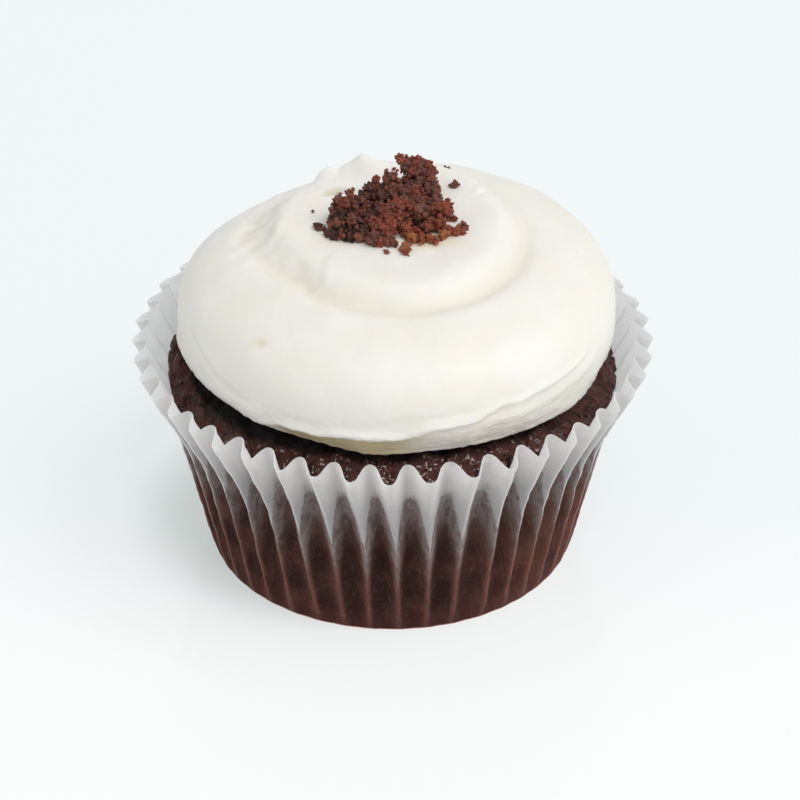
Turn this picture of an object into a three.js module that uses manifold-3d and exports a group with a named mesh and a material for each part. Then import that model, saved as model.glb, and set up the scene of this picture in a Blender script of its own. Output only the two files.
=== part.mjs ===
// A chocolate cupcake in a fluted paper case, with a broad swirl of frosting and a heap of crumbs on top.
// Millimetres, +Z up. The origin is the centre of the flat base that the case stands on.
// Angles run anticlockwise from +X seen from above, so the front of the cupcake, at 270 degrees, faces -Y.
import * as THREE from 'three';
import { mergeVertices } from 'three/addons/utils/BufferGeometryUtils.js';
import Module from 'manifold-3d';

const wasm = await Module();
wasm.setup();

const { PI, sin, cos, sqrt, exp, asin, hypot, atan2, min, max } = Math;
const { degToRad, lerp } = THREE.MathUtils;
const FULL_TURN = 2 * PI;
const GOLDEN_TURN = PI * (3 - sqrt(5));

// Paper case. A station gives the paper's length from the base edge, its mean radius and half its fold depth.
const PAPER = {
  flutes: 44,
  samplesPerFlute: 6,
  thickness: 0.35,
  foldSharpness: 0.85,
  stations: [
    { along: 0, radius: 24.7, fold: 0.3 },
    { along: 3, radius: 25.2, fold: 0.6 },
    { along: 21, radius: 28.9, fold: 1.1 },
    { along: 32.3, radius: 33.4, fold: 1.45 },
  ],
  // Some folds are pressed a little deeper than others.
  depthSwings: [
    { turns: 5, share: 0.08, phase: 1.3 },
    { turns: 11, share: 0.06, phase: 0.4 },
  ],
  // The folds drift from an even pitch, and one group near the front is pulled apart.
  pitchSwings: [
    { turns: 0, degrees: 0.4 },
    { turns: 1, degrees: 1.4 },
    { turns: 2, degrees: 0.6 },
    { turns: 3, degrees: 0.7 },
  ],
  pulledFolds: { at: 296, width: 12, degrees: 1.8 },
};

// Cake. Its side fills the folds up to fillHeight, and above that it leaves their outer creases.
const CAKE = {
  samplesPerFlute: 4,
  gap: 0.22,
  fillHeight: 15.5,
  fillRadius: 28.5,
  edgeRadius: 30.35,
  edgeHeight: 25.2,
  edgeRounding: 0.3,
  sideHeights: [3, 15.5, 21, 25.2],
  topRadii: [29.2, 27.2, 25.4],
  domeHeight: 33,
  domePower: 2.3,
  contactRadius: 24,
  cragHeight: 0.45,
  cragFade: 2,
};

// Frosting: a broad disc with a round shoulder. Rows are shares of the way from one outline to the next.
const FROSTING = {
  segments: 88,
  axis: { x: 0.6, y: 0.2 },
  widest: 29.3,
  widestHeight: 35.5,
  domeRise: 11,
  domePower: 3,
  flatShoulder: { at: 132, width: 42, powerLoss: 1 },
  edgeRadius: 28.5,
  edgeHeight: 31,
  edgeDent: { at: 232, width: 22, depth: 0.6 },
  undercutPower: 2.4,
  gap: 0.3,
  moundRows: [0.3, 0.52, 0.68, 0.8, 0.92, 1],
  shoulderRows: [0.14, 0.4, 0.66, 0.84, 0.95, 1],
  sideHeights: [34.4, 33.2, 32, 31],
};
// The swirled mound on the disc sits back from its axis: a groove, a ring that is highest at the back, a dip.
const MOUND = {
  centre: { x: 0.3, y: 2.6 },
  grooveRadius: 18.4,
  grooveDepth: 0.9,
  grooveWidth: 0.1,
  startBulge: { at: 160, width: 26, depth: 1.4 },
  startTuck: { at: 210, width: 14, depth: 1.2 },
  frontRise: 0.8,
  backRise: 2.6,
  backPower: 1.5,
  crest: 0.78,
  crestWidth: 0.2,
  dipShare: 0.55,
  peaks: [
    { at: 110, width: 11, height: 1.9, across: 0.7, acrossWidth: 0.12 },
    { at: 130, width: 6, height: 1.1, across: 0.76, acrossWidth: 0.07 },
  ],
};
// The lip that the spatula pushed out climbs the front of the disc between two directions.
const LIP = {
  from: 228,
  to: 335,
  lowHeight: 31.4,
  highHeight: 37,
  climbPower: 1.6,
  proud: 0.45,
  stepIn: 0.75,
  halfWidth: 0.5,
};

// Crumbs: a heap of lumps in the dip of the mound, and a few loose crumbs beside it.
const HEAP = {
  seed: 11,
  lumps: [
    { x: -5.4, y: 2.6, radius: 3.2, height: 3.1, crumbs: 9 },
    { x: -1.4, y: 0.9, radius: 3.7, height: 2.3, crumbs: 9 },
    { x: -1.2, y: 5.4, radius: 4.4, height: 4.4, crumbs: 9 },
    { x: 3.3, y: 9.3, radius: 3.6, height: 4.9, crumbs: 10 },
    { x: 3.9, y: 2.7, radius: 4.8, height: 3, crumbs: 12 },
  ],
  lumpPower: 0.7,
  smallest: 0.8,
  largest: 1.5,
  coreShare: 0.75,
  stand: 0.35,
  gap: 0.3,
  seatReach: 14,
  seatSegments: 24,
  seatRows: [1, 0.8, 0.6, 0.4, 0.2],
};
const LOOSE_CRUMBS = [
  { x: 7.6, y: 20.2, radius: 0.8 },
  { x: 8.7, y: 15, radius: 0.6 },
  { x: -9.8, y: 2.4, radius: 0.8 },
  { x: -11, y: 7.8, radius: 0.45 },
  { x: 9.6, y: 1, radius: 0.85 },
];
const CRUMB_ROUGHNESS = { least: 0.72, range: 0.5 };

const COLOURS = { paper: 0xdcdad9, cake: 0x4a2c24, frosting: 0xf4f1e8, crumbs: 0x6b3626 };

function smoothstep(low, high, value) {
  return THREE.MathUtils.smoothstep(value, low, high);
}

// A turn in radians as degrees from 0 to 360.
function degreesOf(turn) {
  return ((turn / FULL_TURN + 2) % 1) * 360;
}

// A smooth bump of height 1 about a direction.
function bumpAt(turn, { at, width }) {
  const apart = ((degreesOf(turn) - at + 540) % 360) - 180;
  return exp(-((apart / width) ** 2));
}

// A repeatable sequence of numbers from 0 to 1.
function seededRandom(seed) {
  let state = seed;
  return () => {
    state = (state + 0x6d2b79f5) | 0;
    let mixed = Math.imul(state ^ (state >>> 15), 1 | state);
    mixed = (mixed + Math.imul(mixed ^ (mixed >>> 7), 61 | mixed)) ^ mixed;
    return ((mixed ^ (mixed >>> 14)) >>> 0) / 2 ** 32;
  };
}

function shares(count) {
  return Array.from({ length: count }, (_, i) => i / count);
}

function polar(turn, radius, height, centre = { x: 0, y: 0 }) {
  return new THREE.Vector3(centre.x + radius * cos(turn), centre.y + radius * sin(turn), height);
}

// A closed body through rows of points, from a point on the axis below to one above. It is turned on a lathe
// from the first point of each row, and then each row's points move to their own places.
function turnedBody(below, rows, above) {
  const segments = rows[0].length;
  const allRows = [rows[0].map(() => below), ...rows, rows[0].map(() => above)];
  const profile = allRows.map(([first]) => new THREE.Vector2(hypot(first.x, first.y), first.z));
  const geometry = new THREE.LatheGeometry(profile, segments, PI / 2).rotateX(PI / 2);
  const position = geometry.attributes.position;
  for (let i = 0; i <= segments; i++) {
    allRows.forEach((row, j) => {
      const { x, y, z } = row[i % segments];
      position.setXYZ(i * allRows.length + j, x, y, z);
    });
  }
  geometry.computeVertexNormals();
  return geometry;
}

function toSolid(geometry) {
  const bare = geometry.clone();
  bare.deleteAttribute('normal');
  bare.deleteAttribute('uv');
  const merged = mergeVertices(bare, 1e-4);
  const vertProperties = new Float32Array(merged.attributes.position.array);
  const triVerts = new Uint32Array(merged.index.array);
  return new wasm.Manifold(new wasm.Mesh({ numProp: 3, vertProperties, triVerts }));
}

function toGeometry(solid) {
  const mesh = solid.getMesh();
  const geometry = new THREE.BufferGeometry();
  geometry.setAttribute('position', new THREE.BufferAttribute(new Float32Array(mesh.vertProperties), 3));
  geometry.setIndex(new THREE.BufferAttribute(new Uint32Array(mesh.triVerts), 1));
  geometry.computeVertexNormals();
  return geometry;
}

// The outer skin of a solid's largest body: no loose specks beside it, and no hollows shut in between crumbs.
function outerBody(solid) {
  return solid.decompose().reduce((largest, body) => (body.volume() > largest.volume() ? body : largest));
}

// Direction of the folds at a share of the way round, with the drift of the pitch.
function foldTurn(share) {
  const even = share * FULL_TURN;
  const drift = PAPER.pitchSwings.reduce((sum, swing) => sum + swing.degrees * cos(swing.turns * even), 0);
  return even + degToRad(drift + PAPER.pulledFolds.degrees * bumpAt(even, PAPER.pulledFolds));
}

// The fold wave: about 1 on an outer crease and -1 on an inner one.
function foldWave(share) {
  const even = share * FULL_TURN;
  const wave = asin(PAPER.foldSharpness * cos(PAPER.flutes * even)) / asin(PAPER.foldSharpness);
  const deeper = PAPER.depthSwings.map((swing) => swing.share * sin(swing.turns * even + swing.phase));
  return deeper.reduce((sum, share) => sum + share * wave, wave);
}

// Radius and height of the paper's outer face at each station. The paper keeps its length, so a crease that
// runs further out ends lower.
function paperLine(share) {
  const wave = foldWave(share);
  const radii = PAPER.stations.map((station) => station.radius + station.fold * wave);
  let height = 0;
  return PAPER.stations.map((station, i) => {
    if (i > 0) {
      const length = station.along - PAPER.stations[i - 1].along;
      height += sqrt(length ** 2 - (radii[i] - radii[i - 1]) ** 2);
    }
    return { radius: radii[i], height };
  });
}

// Radius of the paper's outer face at a height.
function paperRadius(share, height) {
  const line = paperLine(share);
  const above = max(1, line.findIndex((point, i) => point.height >= height || i === line.length - 1));
  const [low, high] = [line[above - 1], line[above]];
  return lerp(low.radius, high.radius, (height - low.height) / (high.height - low.height));
}

function makePaperCase() {
  const around = shares(PAPER.flutes * PAPER.samplesPerFlute);
  const turns = around.map(foldTurn);
  const lines = around.map(paperLine);
  const wall = PAPER.thickness;
  const outer = PAPER.stations.map((_, j) =>
    turns.map((turn, i) => polar(turn, lines[i][j].radius, lines[i][j].height)),
  );
  const inner = PAPER.stations.map((_, j) =>
    turns.map((turn, i) => polar(turn, lines[i][j].radius - wall, max(lines[i][j].height, wall))),
  );
  return turnedBody(polar(0, 0, 0), [...outer, ...inner.reverse()], polar(0, 0, wall));
}

// Height of the cake's dome, smooth under the frosting.
function cakeDome(radius) {
  const fall = (radius / CAKE.edgeRadius) ** CAKE.domePower;
  return lerp(CAKE.domeHeight, CAKE.edgeHeight + 1, fall);
}

// Height of the crags on the baked rim, which fade out under the frosting.
function cragAt(share, radius) {
  const turn = share * FULL_TURN;
  const lumps = sin(23 * turn + radius) * sin(9 * turn + 1.7 * radius) + 0.7 * sin(41 * turn + 2.3 * radius);
  return CAKE.cragHeight * lumps * smoothstep(CAKE.contactRadius, CAKE.contactRadius + CAKE.cragFade, radius);
}

// Radius of the cake's side: it lies against the paper, except where the batter didn't reach into the folds.
function cakeSide(share, height) {
  const againstPaper = paperRadius(share, height) - PAPER.thickness - CAKE.gap;
  const rise = max(0, (height - CAKE.fillHeight) / (CAKE.edgeHeight - CAKE.fillHeight));
  return min(againstPaper, lerp(CAKE.fillRadius, CAKE.edgeRadius - CAKE.edgeRounding, rise));
}

function makeCake() {
  const around = shares(PAPER.flutes * CAKE.samplesPerFlute);
  const turns = around.map(foldTurn);
  const floor = PAPER.thickness + CAKE.gap;
  const side = [floor, ...CAKE.sideHeights].map((height) =>
    turns.map((turn, i) => polar(turn, cakeSide(around[i], height), height)),
  );
  const top = [...CAKE.topRadii, CAKE.contactRadius].map((radius) =>
    turns.map((turn, i) => polar(turn, radius, cakeDome(radius) + cragAt(around[i], radius))),
  );
  return turnedBody(polar(0, 0, floor), [...side, ...top], polar(0, 0, CAKE.domeHeight));
}

// Radius of the groove from the mound's centre. The stroke starts at the left with a bulge and a tuck.
function grooveRadius(turn) {
  const { startBulge, startTuck } = MOUND;
  const outwards = startBulge.depth * bumpAt(turn, startBulge);
  const inwards = startTuck.depth * bumpAt(turn, startTuck);
  return MOUND.grooveRadius + outwards - inwards;
}

// Height of the disc alone, with its shoulder flatter at the back left.
function discTop(x, y) {
  const { axis, widest, widestHeight, domeRise, domePower, flatShoulder } = FROSTING;
  const turn = atan2(y - axis.y, x - axis.x);
  const across = min(1, hypot(x - axis.x, y - axis.y) / widest);
  const power = domePower - flatShoulder.powerLoss * bumpAt(turn, flatShoulder);
  return widestHeight + domeRise * (1 - across ** power) ** (1 / power);
}

// Height of the swirled mound over the disc.
function moundRise(x, y) {
  const { centre, crest, crestWidth, dipShare, frontRise, backRise, backPower } = MOUND;
  const turn = atan2(y - centre.y, x - centre.x);
  const across = hypot(x - centre.x, y - centre.y) / grooveRadius(turn);
  const backwards = ((1 + sin(turn)) / 2) ** backPower;
  const ringRise = lerp(frontRise, backRise, min(1, across / crest) * backwards);
  const ring = lerp(dipShare, 1, exp(-(((across - crest) / crestWidth) ** 2)));
  const plateau = 1 - smoothstep(crest, 1, across);
  const groove = MOUND.grooveDepth * exp(-(((across - 1) / MOUND.grooveWidth) ** 2));
  const peaks = MOUND.peaks.map((peak) => {
    const inRing = exp(-(((across - peak.across) / peak.acrossWidth) ** 2));
    return peak.height * bumpAt(turn, peak) * inRing;
  });
  return peaks.reduce((sum, height) => sum + height, ringRise * ring * plateau - groove);
}

function frostingTop(x, y) {
  return discTop(x, y) + moundRise(x, y);
}

// How far the side stands out at a height because of the pushed-out lip and the hollow under it.
function lipOut(turn, height) {
  const along = (degreesOf(turn) - LIP.from) / (LIP.to - LIP.from);
  const strength = smoothstep(-0.05, 0.12, along) * (1 - smoothstep(0.85, 1.1, along));
  const lipHeight = lerp(LIP.lowHeight, LIP.highHeight, min(1, max(0, along)) ** LIP.climbPower);
  const bead = LIP.proud * exp(-(((height - lipHeight) / LIP.halfWidth) ** 2));
  const overHollow = smoothstep(lipHeight - LIP.halfWidth, lipHeight, height);
  const nearEdge = 1 - smoothstep(FROSTING.edgeHeight, FROSTING.edgeHeight + LIP.halfWidth, height);
  return strength * (bead - LIP.stepIn * (1 - overHollow) * (1 - nearEdge));
}

// Radius of the disc's side at a height, from the frosting's axis.
function frostingSide(turn, height) {
  const { widest, widestHeight, edgeRadius, edgeHeight, edgeDent, undercutPower } = FROSTING;
  const edge = edgeRadius - edgeDent.depth * bumpAt(turn, edgeDent);
  const below = (widestHeight - height) / (widestHeight - edgeHeight);
  return lerp(widest, edge, below ** undercutPower) + lipOut(turn, height);
}

function makeFrosting() {
  const turns = shares(FROSTING.segments).map((share) => share * FULL_TURN);
  const middle = polar(0, 0, 0, MOUND.centre);
  const groove = turns.map((turn) => polar(turn, grooveRadius(turn), 0, MOUND.centre));
  const shoulder = turns.map((turn) => polar(turn, FROSTING.widest, 0, FROSTING.axis));
  const onTop = (from, to, part) => {
    const place = from.clone().lerp(to, part);
    return place.setZ(frostingTop(place.x, place.y));
  };
  const mound = FROSTING.moundRows.map((part) => groove.map((point) => onTop(middle, point, part)));
  const disc = FROSTING.shoulderRows.map((part) => groove.map((point, i) => onTop(point, shoulder[i], part)));
  const side = FROSTING.sideHeights.map((height) =>
    turns.map((turn) => polar(turn, frostingSide(turn, height), height, FROSTING.axis)),
  );
  const contactHeight = cakeDome(CAKE.contactRadius) + FROSTING.gap;
  const contact = turns.map((turn) => polar(turn, CAKE.contactRadius, contactHeight));
  const rows = [...mound, ...disc, ...side, contact].reverse();
  return turnedBody(polar(0, 0, CAKE.domeHeight + FROSTING.gap), rows, onTop(middle, middle, 0));
}

// One rough crumb with a few faces, about a point: each corner is pulled in or out.
function makeCrumb(random, radius, { x, y, z }) {
  const geometry = new THREE.IcosahedronGeometry(radius, 0);
  const corners = geometry.attributes.position;
  const corner = new THREE.Vector3();
  const pulls = new Map();
  for (let i = 0; i < corners.count; i++) {
    corner.fromBufferAttribute(corners, i);
    const key = corner.toArray().map((value) => value.toFixed(3)).join();
    if (!pulls.has(key)) pulls.set(key, CRUMB_ROUGHNESS.least + CRUMB_ROUGHNESS.range * random());
    corner.multiplyScalar(pulls.get(key));
    corners.setXYZ(i, corner.x, corner.y, corner.z);
  }
  geometry.rotateX(random() * FULL_TURN);
  geometry.rotateZ(random() * FULL_TURN);
  geometry.translate(x, y, z);
  return toSolid(geometry);
}

// How high the heap's lumps stand over the frosting.
function heapCover(x, y) {
  const covers = HEAP.lumps.map((lump) => {
    const inwards = max(0, 1 - hypot(x - lump.x, y - lump.y) / lump.radius);
    return lump.height * inwards ** HEAP.lumpPower;
  });
  return max(...covers);
}

// The room that the frosting takes under the heap, with the gap.
function makeHeapSeat() {
  const turns = shares(HEAP.seatSegments).map((share) => share * FULL_TURN);
  const onSeat = (place) => place.setZ(frostingTop(place.x, place.y) + HEAP.gap);
  const base = FROSTING.widestHeight;
  const rows = HEAP.seatRows.map((part) =>
    turns.map((turn) => onSeat(polar(turn, part * HEAP.seatReach, 0, MOUND.centre))),
  );
  const floor = turns.map((turn) => polar(turn, HEAP.seatReach, base, MOUND.centre));
  const [below, above] = [polar(0, 0, base, MOUND.centre), onSeat(polar(0, 0, 0, MOUND.centre))];
  return toSolid(turnedBody(below, [floor, ...rows], above));
}

// A lump of the heap: a smooth core, with crumbs spread over it in a sunflower pattern.
function makeLump(random, lump) {
  const core = new THREE.IcosahedronGeometry(1, 1);
  core.scale(lump.radius, lump.radius, lump.height).scale(HEAP.coreShare, HEAP.coreShare, HEAP.coreShare);
  core.translate(lump.x, lump.y, frostingTop(lump.x, lump.y) + HEAP.gap);
  const crumbs = shares(lump.crumbs).map((share, i) => {
    const radius = lerp(HEAP.smallest, HEAP.largest, random());
    const place = polar(i * GOLDEN_TURN + lump.x, sqrt(share) * lump.radius, 0, lump);
    const cover = heapCover(place.x, place.y) * HEAP.coreShare;
    place.setZ(frostingTop(place.x, place.y) + cover + radius * HEAP.stand);
    return makeCrumb(random, radius, place);
  });
  return crumbs.reduce((sum, crumb) => sum.add(crumb), toSolid(core));
}

function makeCrumbHeap() {
  const random = seededRandom(HEAP.seed);
  const lumps = HEAP.lumps.map((lump) => makeLump(random, lump));
  return outerBody(lumps.reduce((sum, lump) => sum.add(lump)).subtract(makeHeapSeat()));
}

// The frosting with the loose crumbs that stick to it.
function makeCrumbedFrosting() {
  const random = seededRandom(HEAP.seed);
  const crumbs = LOOSE_CRUMBS.map(({ x, y, radius }) =>
    makeCrumb(random, radius, new THREE.Vector3(x, y, frostingTop(x, y) + radius * HEAP.stand)),
  );
  return crumbs.reduce((sum, crumb) => sum.add(crumb), toSolid(makeFrosting()));
}

function addPart(group, name, geometry, color, roughness) {
  const mesh = new THREE.Mesh(geometry, new THREE.MeshStandardMaterial({ color, roughness, metalness: 0 }));
  mesh.name = name;
  group.add(mesh);
}

const cupcake = new THREE.Group();
addPart(cupcake, 'paper_case', makePaperCase(), COLOURS.paper, 0.7);
addPart(cupcake, 'cake', makeCake(), COLOURS.cake, 0.85);
addPart(cupcake, 'frosting', toGeometry(makeCrumbedFrosting()), COLOURS.frosting, 0.55);
addPart(cupcake, 'crumb_heap', toGeometry(makeCrumbHeap()), COLOURS.crumbs, 0.9);

export default cupcake;
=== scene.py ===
"""A chocolate cupcake in a fluted paper case, with a broad swirl of frosting and a heap of crumbs on top.

Sizes in the classes are millimetres and directions are degrees, anticlockwise from +X seen from above.
The front of the cupcake, at 270 degrees, faces the camera. Each piece is modelled in millimetres and is
brought to metres as its last step.
"""

from __future__ import annotations

import logging
from dataclasses import dataclass
from enum import Enum

import bpy
import numpy as np
from mathutils import Euler, Matrix, Vector


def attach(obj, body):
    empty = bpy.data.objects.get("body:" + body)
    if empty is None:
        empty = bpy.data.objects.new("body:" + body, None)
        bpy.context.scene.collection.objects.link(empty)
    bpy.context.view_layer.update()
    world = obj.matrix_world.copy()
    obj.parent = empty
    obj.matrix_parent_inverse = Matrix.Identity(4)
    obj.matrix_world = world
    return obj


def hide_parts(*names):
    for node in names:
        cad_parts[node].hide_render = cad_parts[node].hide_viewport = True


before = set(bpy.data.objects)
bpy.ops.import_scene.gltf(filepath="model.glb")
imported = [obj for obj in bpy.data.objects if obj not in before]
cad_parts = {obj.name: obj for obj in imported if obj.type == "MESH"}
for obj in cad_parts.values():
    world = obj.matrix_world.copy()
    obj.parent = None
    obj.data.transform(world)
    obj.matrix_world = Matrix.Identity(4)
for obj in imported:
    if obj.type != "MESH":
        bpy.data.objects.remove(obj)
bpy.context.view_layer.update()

MM = 0.001
LOG = logging.getLogger("cupcake")
Points = np.ndarray
Colour = tuple[float, float, float]
Band = tuple[float, float]


class Body(str, Enum):
    """The bodies that pieces ride on."""

    WHOLE = "root"


class Slot(str, Enum):
    """The record's material slots."""

    PAPER = "case_paper"
    SPONGE = "chocolate_sponge"
    CREAM = "cream_frosting"
    CRUMBS = "cake_crumbs"


# Shared sums


def smoothstep(low: float, high: float, value: Points) -> Points:
    """Rise smoothly from 0 at low to 1 at high."""
    part = np.clip((value - low) / (high - low), 0.0, 1.0)
    return part * part * (3.0 - 2.0 * part)


def bump_at(turn: Points, at: float, width: float) -> Points:
    """Return a bump of height 1 about a direction, for directions in degrees."""
    apart = (turn - at + 540.0) % 360.0 - 180.0
    return np.exp(-((apart / width) ** 2))


def around(turn: Points, turns: tuple[float, ...], values: tuple[float, ...]) -> Points:
    """Read a value that is given at some directions, at any direction."""
    return np.interp(turn, turns, values, period=360.0)


def eased(at: Points, places: tuple[float, ...], values: tuple[float, ...], reach: float) -> Points:
    """Read a table with its corners rounded.

    Args:
        at: Where to read it.
        places: The places that the table gives.
        values: The value at each place.
        reach: How far either way the reading is averaged.

    Returns:
        The values at the places asked for.
    """
    near = np.minimum(reach, np.minimum(at - places[0], places[-1] - at))
    steps = np.linspace(-1.0, 1.0, 9)
    return np.mean([np.interp(at + near * step, places, values) for step in steps], axis=0)


class Unevenness:
    """Smooth seeded unevenness: waves in many directions, added up to about 1 high."""

    PEAK = 1.6

    def __init__(self, seed: int, size: float, waves: int = 16) -> None:
        """Draw the waves.

        Args:
            seed: The seed of the draw.
            size: The length of a typical wave.
            waves: How many waves are added up.
        """
        draw = np.random.default_rng(seed)
        heading = draw.normal(size=(waves, 3))
        heading /= np.linalg.norm(heading, axis=1)[:, None]
        self.pull = heading * (2.0 * np.pi / (size * draw.uniform(0.7, 1.5, waves)))[:, None]
        self.start = draw.uniform(0.0, 2.0 * np.pi, waves)

    def at(self, x: Points, y: Points, z: Points) -> Points:
        """Return the unevenness at some places."""
        total = np.zeros(np.broadcast(x, y, z).shape)
        for (a, b, c), start in zip(self.pull, self.start):
            total += np.cos(a * x + b * y + c * z + start)
        return total / np.sqrt(len(self.start) / 2.0) / self.PEAK


# Modelling


def leave_edit_mode() -> None:
    """Go back to object mode, where Blender is in another one."""
    active = bpy.context.view_layer.objects.active
    if active and active.mode != "OBJECT":
        bpy.ops.object.mode_set(mode="OBJECT")


def select_only(piece: bpy.types.Object | None) -> None:
    """Deselect everything, and select one piece and make it active."""
    leave_edit_mode()
    bpy.ops.object.select_all(action="DESELECT")
    if piece:
        piece.select_set(True)
        bpy.context.view_layer.objects.active = piece


def apply_modifier(piece: bpy.types.Object, kind: str, **settings: object) -> None:
    """Add a modifier to a piece and apply it.

    Args:
        piece: The piece.
        kind: Blender's name of the modifier.
        settings: The modifier's own settings.
    """
    select_only(piece)
    modifier = piece.modifiers.new(kind.lower(), kind)
    for key, value in settings.items():
        setattr(modifier, key, value)
    bpy.ops.object.modifier_apply(modifier=modifier.name)


def roughen(piece: bpy.types.Object, kind: str, size: float, height: float, weights: str = "") -> None:
    """Push a surface in and out by a cloudy or a cellular pattern.

    Args:
        piece: The piece, in millimetres.
        kind: CLOUDS or VORONOI.
        size: The size of the pattern's features.
        height: The height from the lowest to the highest place.
        weights: The vertex group that says where it happens.
    """
    texture = bpy.data.textures.new(f"{piece.name}_{kind.lower()}", kind)
    texture.noise_scale = size
    if kind == "CLOUDS":
        texture.noise_depth = 2
    strength = -height if kind == "VORONOI" else height
    apply_modifier(piece, "DISPLACE", texture=texture, strength=strength, mid_level=0.5,
                   texture_coords="LOCAL", direction="NORMAL", vertex_group=weights)


def weigh(piece: bpy.types.Object, name: str, weights: Points, steps: int = 20) -> None:
    """Add a vertex group with a weight for each corner, rounded to some even steps."""
    group = piece.vertex_groups.new(name=name)
    levels = np.rint(np.clip(weights, 0.0, 1.0) * steps).astype(int)
    for level in np.unique(levels[levels > 0]):
        group.add(np.flatnonzero(levels == level).tolist(), level / steps, "REPLACE")


def corners_of(mesh: bpy.types.Mesh) -> Points:
    """Read a mesh's corners as an array of places."""
    flat = np.empty(len(mesh.vertices) * 3, dtype=np.float32)
    mesh.vertices.foreach_get("co", flat)
    return flat.reshape(-1, 3).astype(float)


def move_corners(mesh: bpy.types.Mesh, places: Points) -> None:
    """Move a mesh's corners to new places."""
    mesh.vertices.foreach_set("co", np.ascontiguousarray(places, dtype=np.float32).ravel())
    mesh.update()


def mark_corners(mesh: bpy.types.Mesh, name: str, values: Points) -> None:
    """Keep a number for each corner of a mesh, for its finish to read."""
    mark = mesh.attributes.get(name) or mesh.attributes.new(name, "FLOAT", "POINT")
    mark.data.foreach_set("value", np.ascontiguousarray(values, dtype=np.float32))


def face_outwards(piece: bpy.types.Object) -> None:
    """Turn all the faces of a piece one way, which is outwards where it is closed."""
    select_only(piece)
    bpy.ops.object.mode_set(mode="EDIT")
    bpy.ops.mesh.select_all(action="SELECT")
    bpy.ops.mesh.normals_make_consistent(inside=False)
    bpy.ops.object.mode_set(mode="OBJECT")


def turn_over(piece: bpy.types.Object) -> None:
    """Turn all the faces of a piece the other way."""
    select_only(piece)
    bpy.ops.object.mode_set(mode="EDIT")
    bpy.ops.mesh.select_all(action="SELECT")
    bpy.ops.mesh.flip_normals()
    bpy.ops.object.mode_set(mode="OBJECT")


def to_metres(piece: bpy.types.Object) -> None:
    """Bring a piece that was modelled in millimetres to metres."""
    piece.data.transform(Matrix.Scale(MM, 4))
    piece.data.update()


def shade(piece: bpy.types.Object, angle: float) -> None:
    """Shade a piece smooth, apart from edges sharper than an angle in degrees."""
    select_only(piece)
    bpy.ops.object.shade_smooth_by_angle(angle=np.radians(angle))


class RowSheet:
    """A sheet extruded row by row from a ring, whose corners are then moved to their own places."""

    def __init__(self, name: str, columns: int, rows: int, closed_above: bool) -> None:
        """Extrude the sheet.

        Args:
            name: The piece's name.
            columns: The corners of each row.
            rows: The number of rows.
            closed_above: Whether the last row is closed to a pole, as the first one always is.
        """
        select_only(None)
        bpy.ops.mesh.primitive_circle_add(vertices=columns, radius=1.0, fill_type="NOTHING")
        self.piece = bpy.context.object
        self.piece.name = self.piece.data.name = name
        self.rows = rows
        bpy.ops.object.mode_set(mode="EDIT")
        bpy.ops.mesh.select_all(action="SELECT")
        self._extrude(rows - 1, 1.0)
        if closed_above:
            self._extrude(1, 1.0)
            bpy.ops.mesh.merge(type="CENTER")
        self._select_row(0)
        self._extrude(1, -1.0)
        bpy.ops.mesh.merge(type="CENTER")
        bpy.ops.object.mode_set(mode="OBJECT")
        place = corners_of(self.piece.data)
        self.row = np.rint(place[:, 2]).astype(int)
        turn = np.arctan2(place[:, 1], place[:, 0]) / (2.0 * np.pi)
        self.column = np.rint(turn * columns).astype(int) % columns

    def _extrude(self, times: int, step: float) -> None:
        """Extrude the selected ring a number of times."""
        for _ in range(times):
            bpy.ops.mesh.extrude_region_move(TRANSFORM_OT_translate={"value": (0.0, 0.0, step)})

    def _select_row(self, row: int) -> None:
        """Select the corners and edges of one row."""
        bpy.ops.mesh.select_all(action="DESELECT")
        bpy.ops.object.mode_set(mode="OBJECT")
        mesh = self.piece.data
        chosen = np.abs(corners_of(mesh)[:, 2] - row) < 0.5
        mesh.vertices.foreach_set("select", chosen)
        bpy.ops.object.mode_set(mode="EDIT")
        bpy.ops.mesh.select_mode(type="VERT")

    def spread(self, table: Points, below: object, above: object = 0.0) -> Points:
        """Give each corner its entry of a table of rows and columns.

        Args:
            table: The entries by row and column.
            below: The entry of the pole under the first row.
            above: The entry of the pole over the last row.

        Returns:
            One entry for each corner.
        """
        row = np.clip(self.row, 0, self.rows - 1)
        entries = np.array(table[row, self.column], dtype=float)
        entries[self.row < 0] = below
        entries[self.row >= self.rows] = above
        return entries


# Finishes


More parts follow.
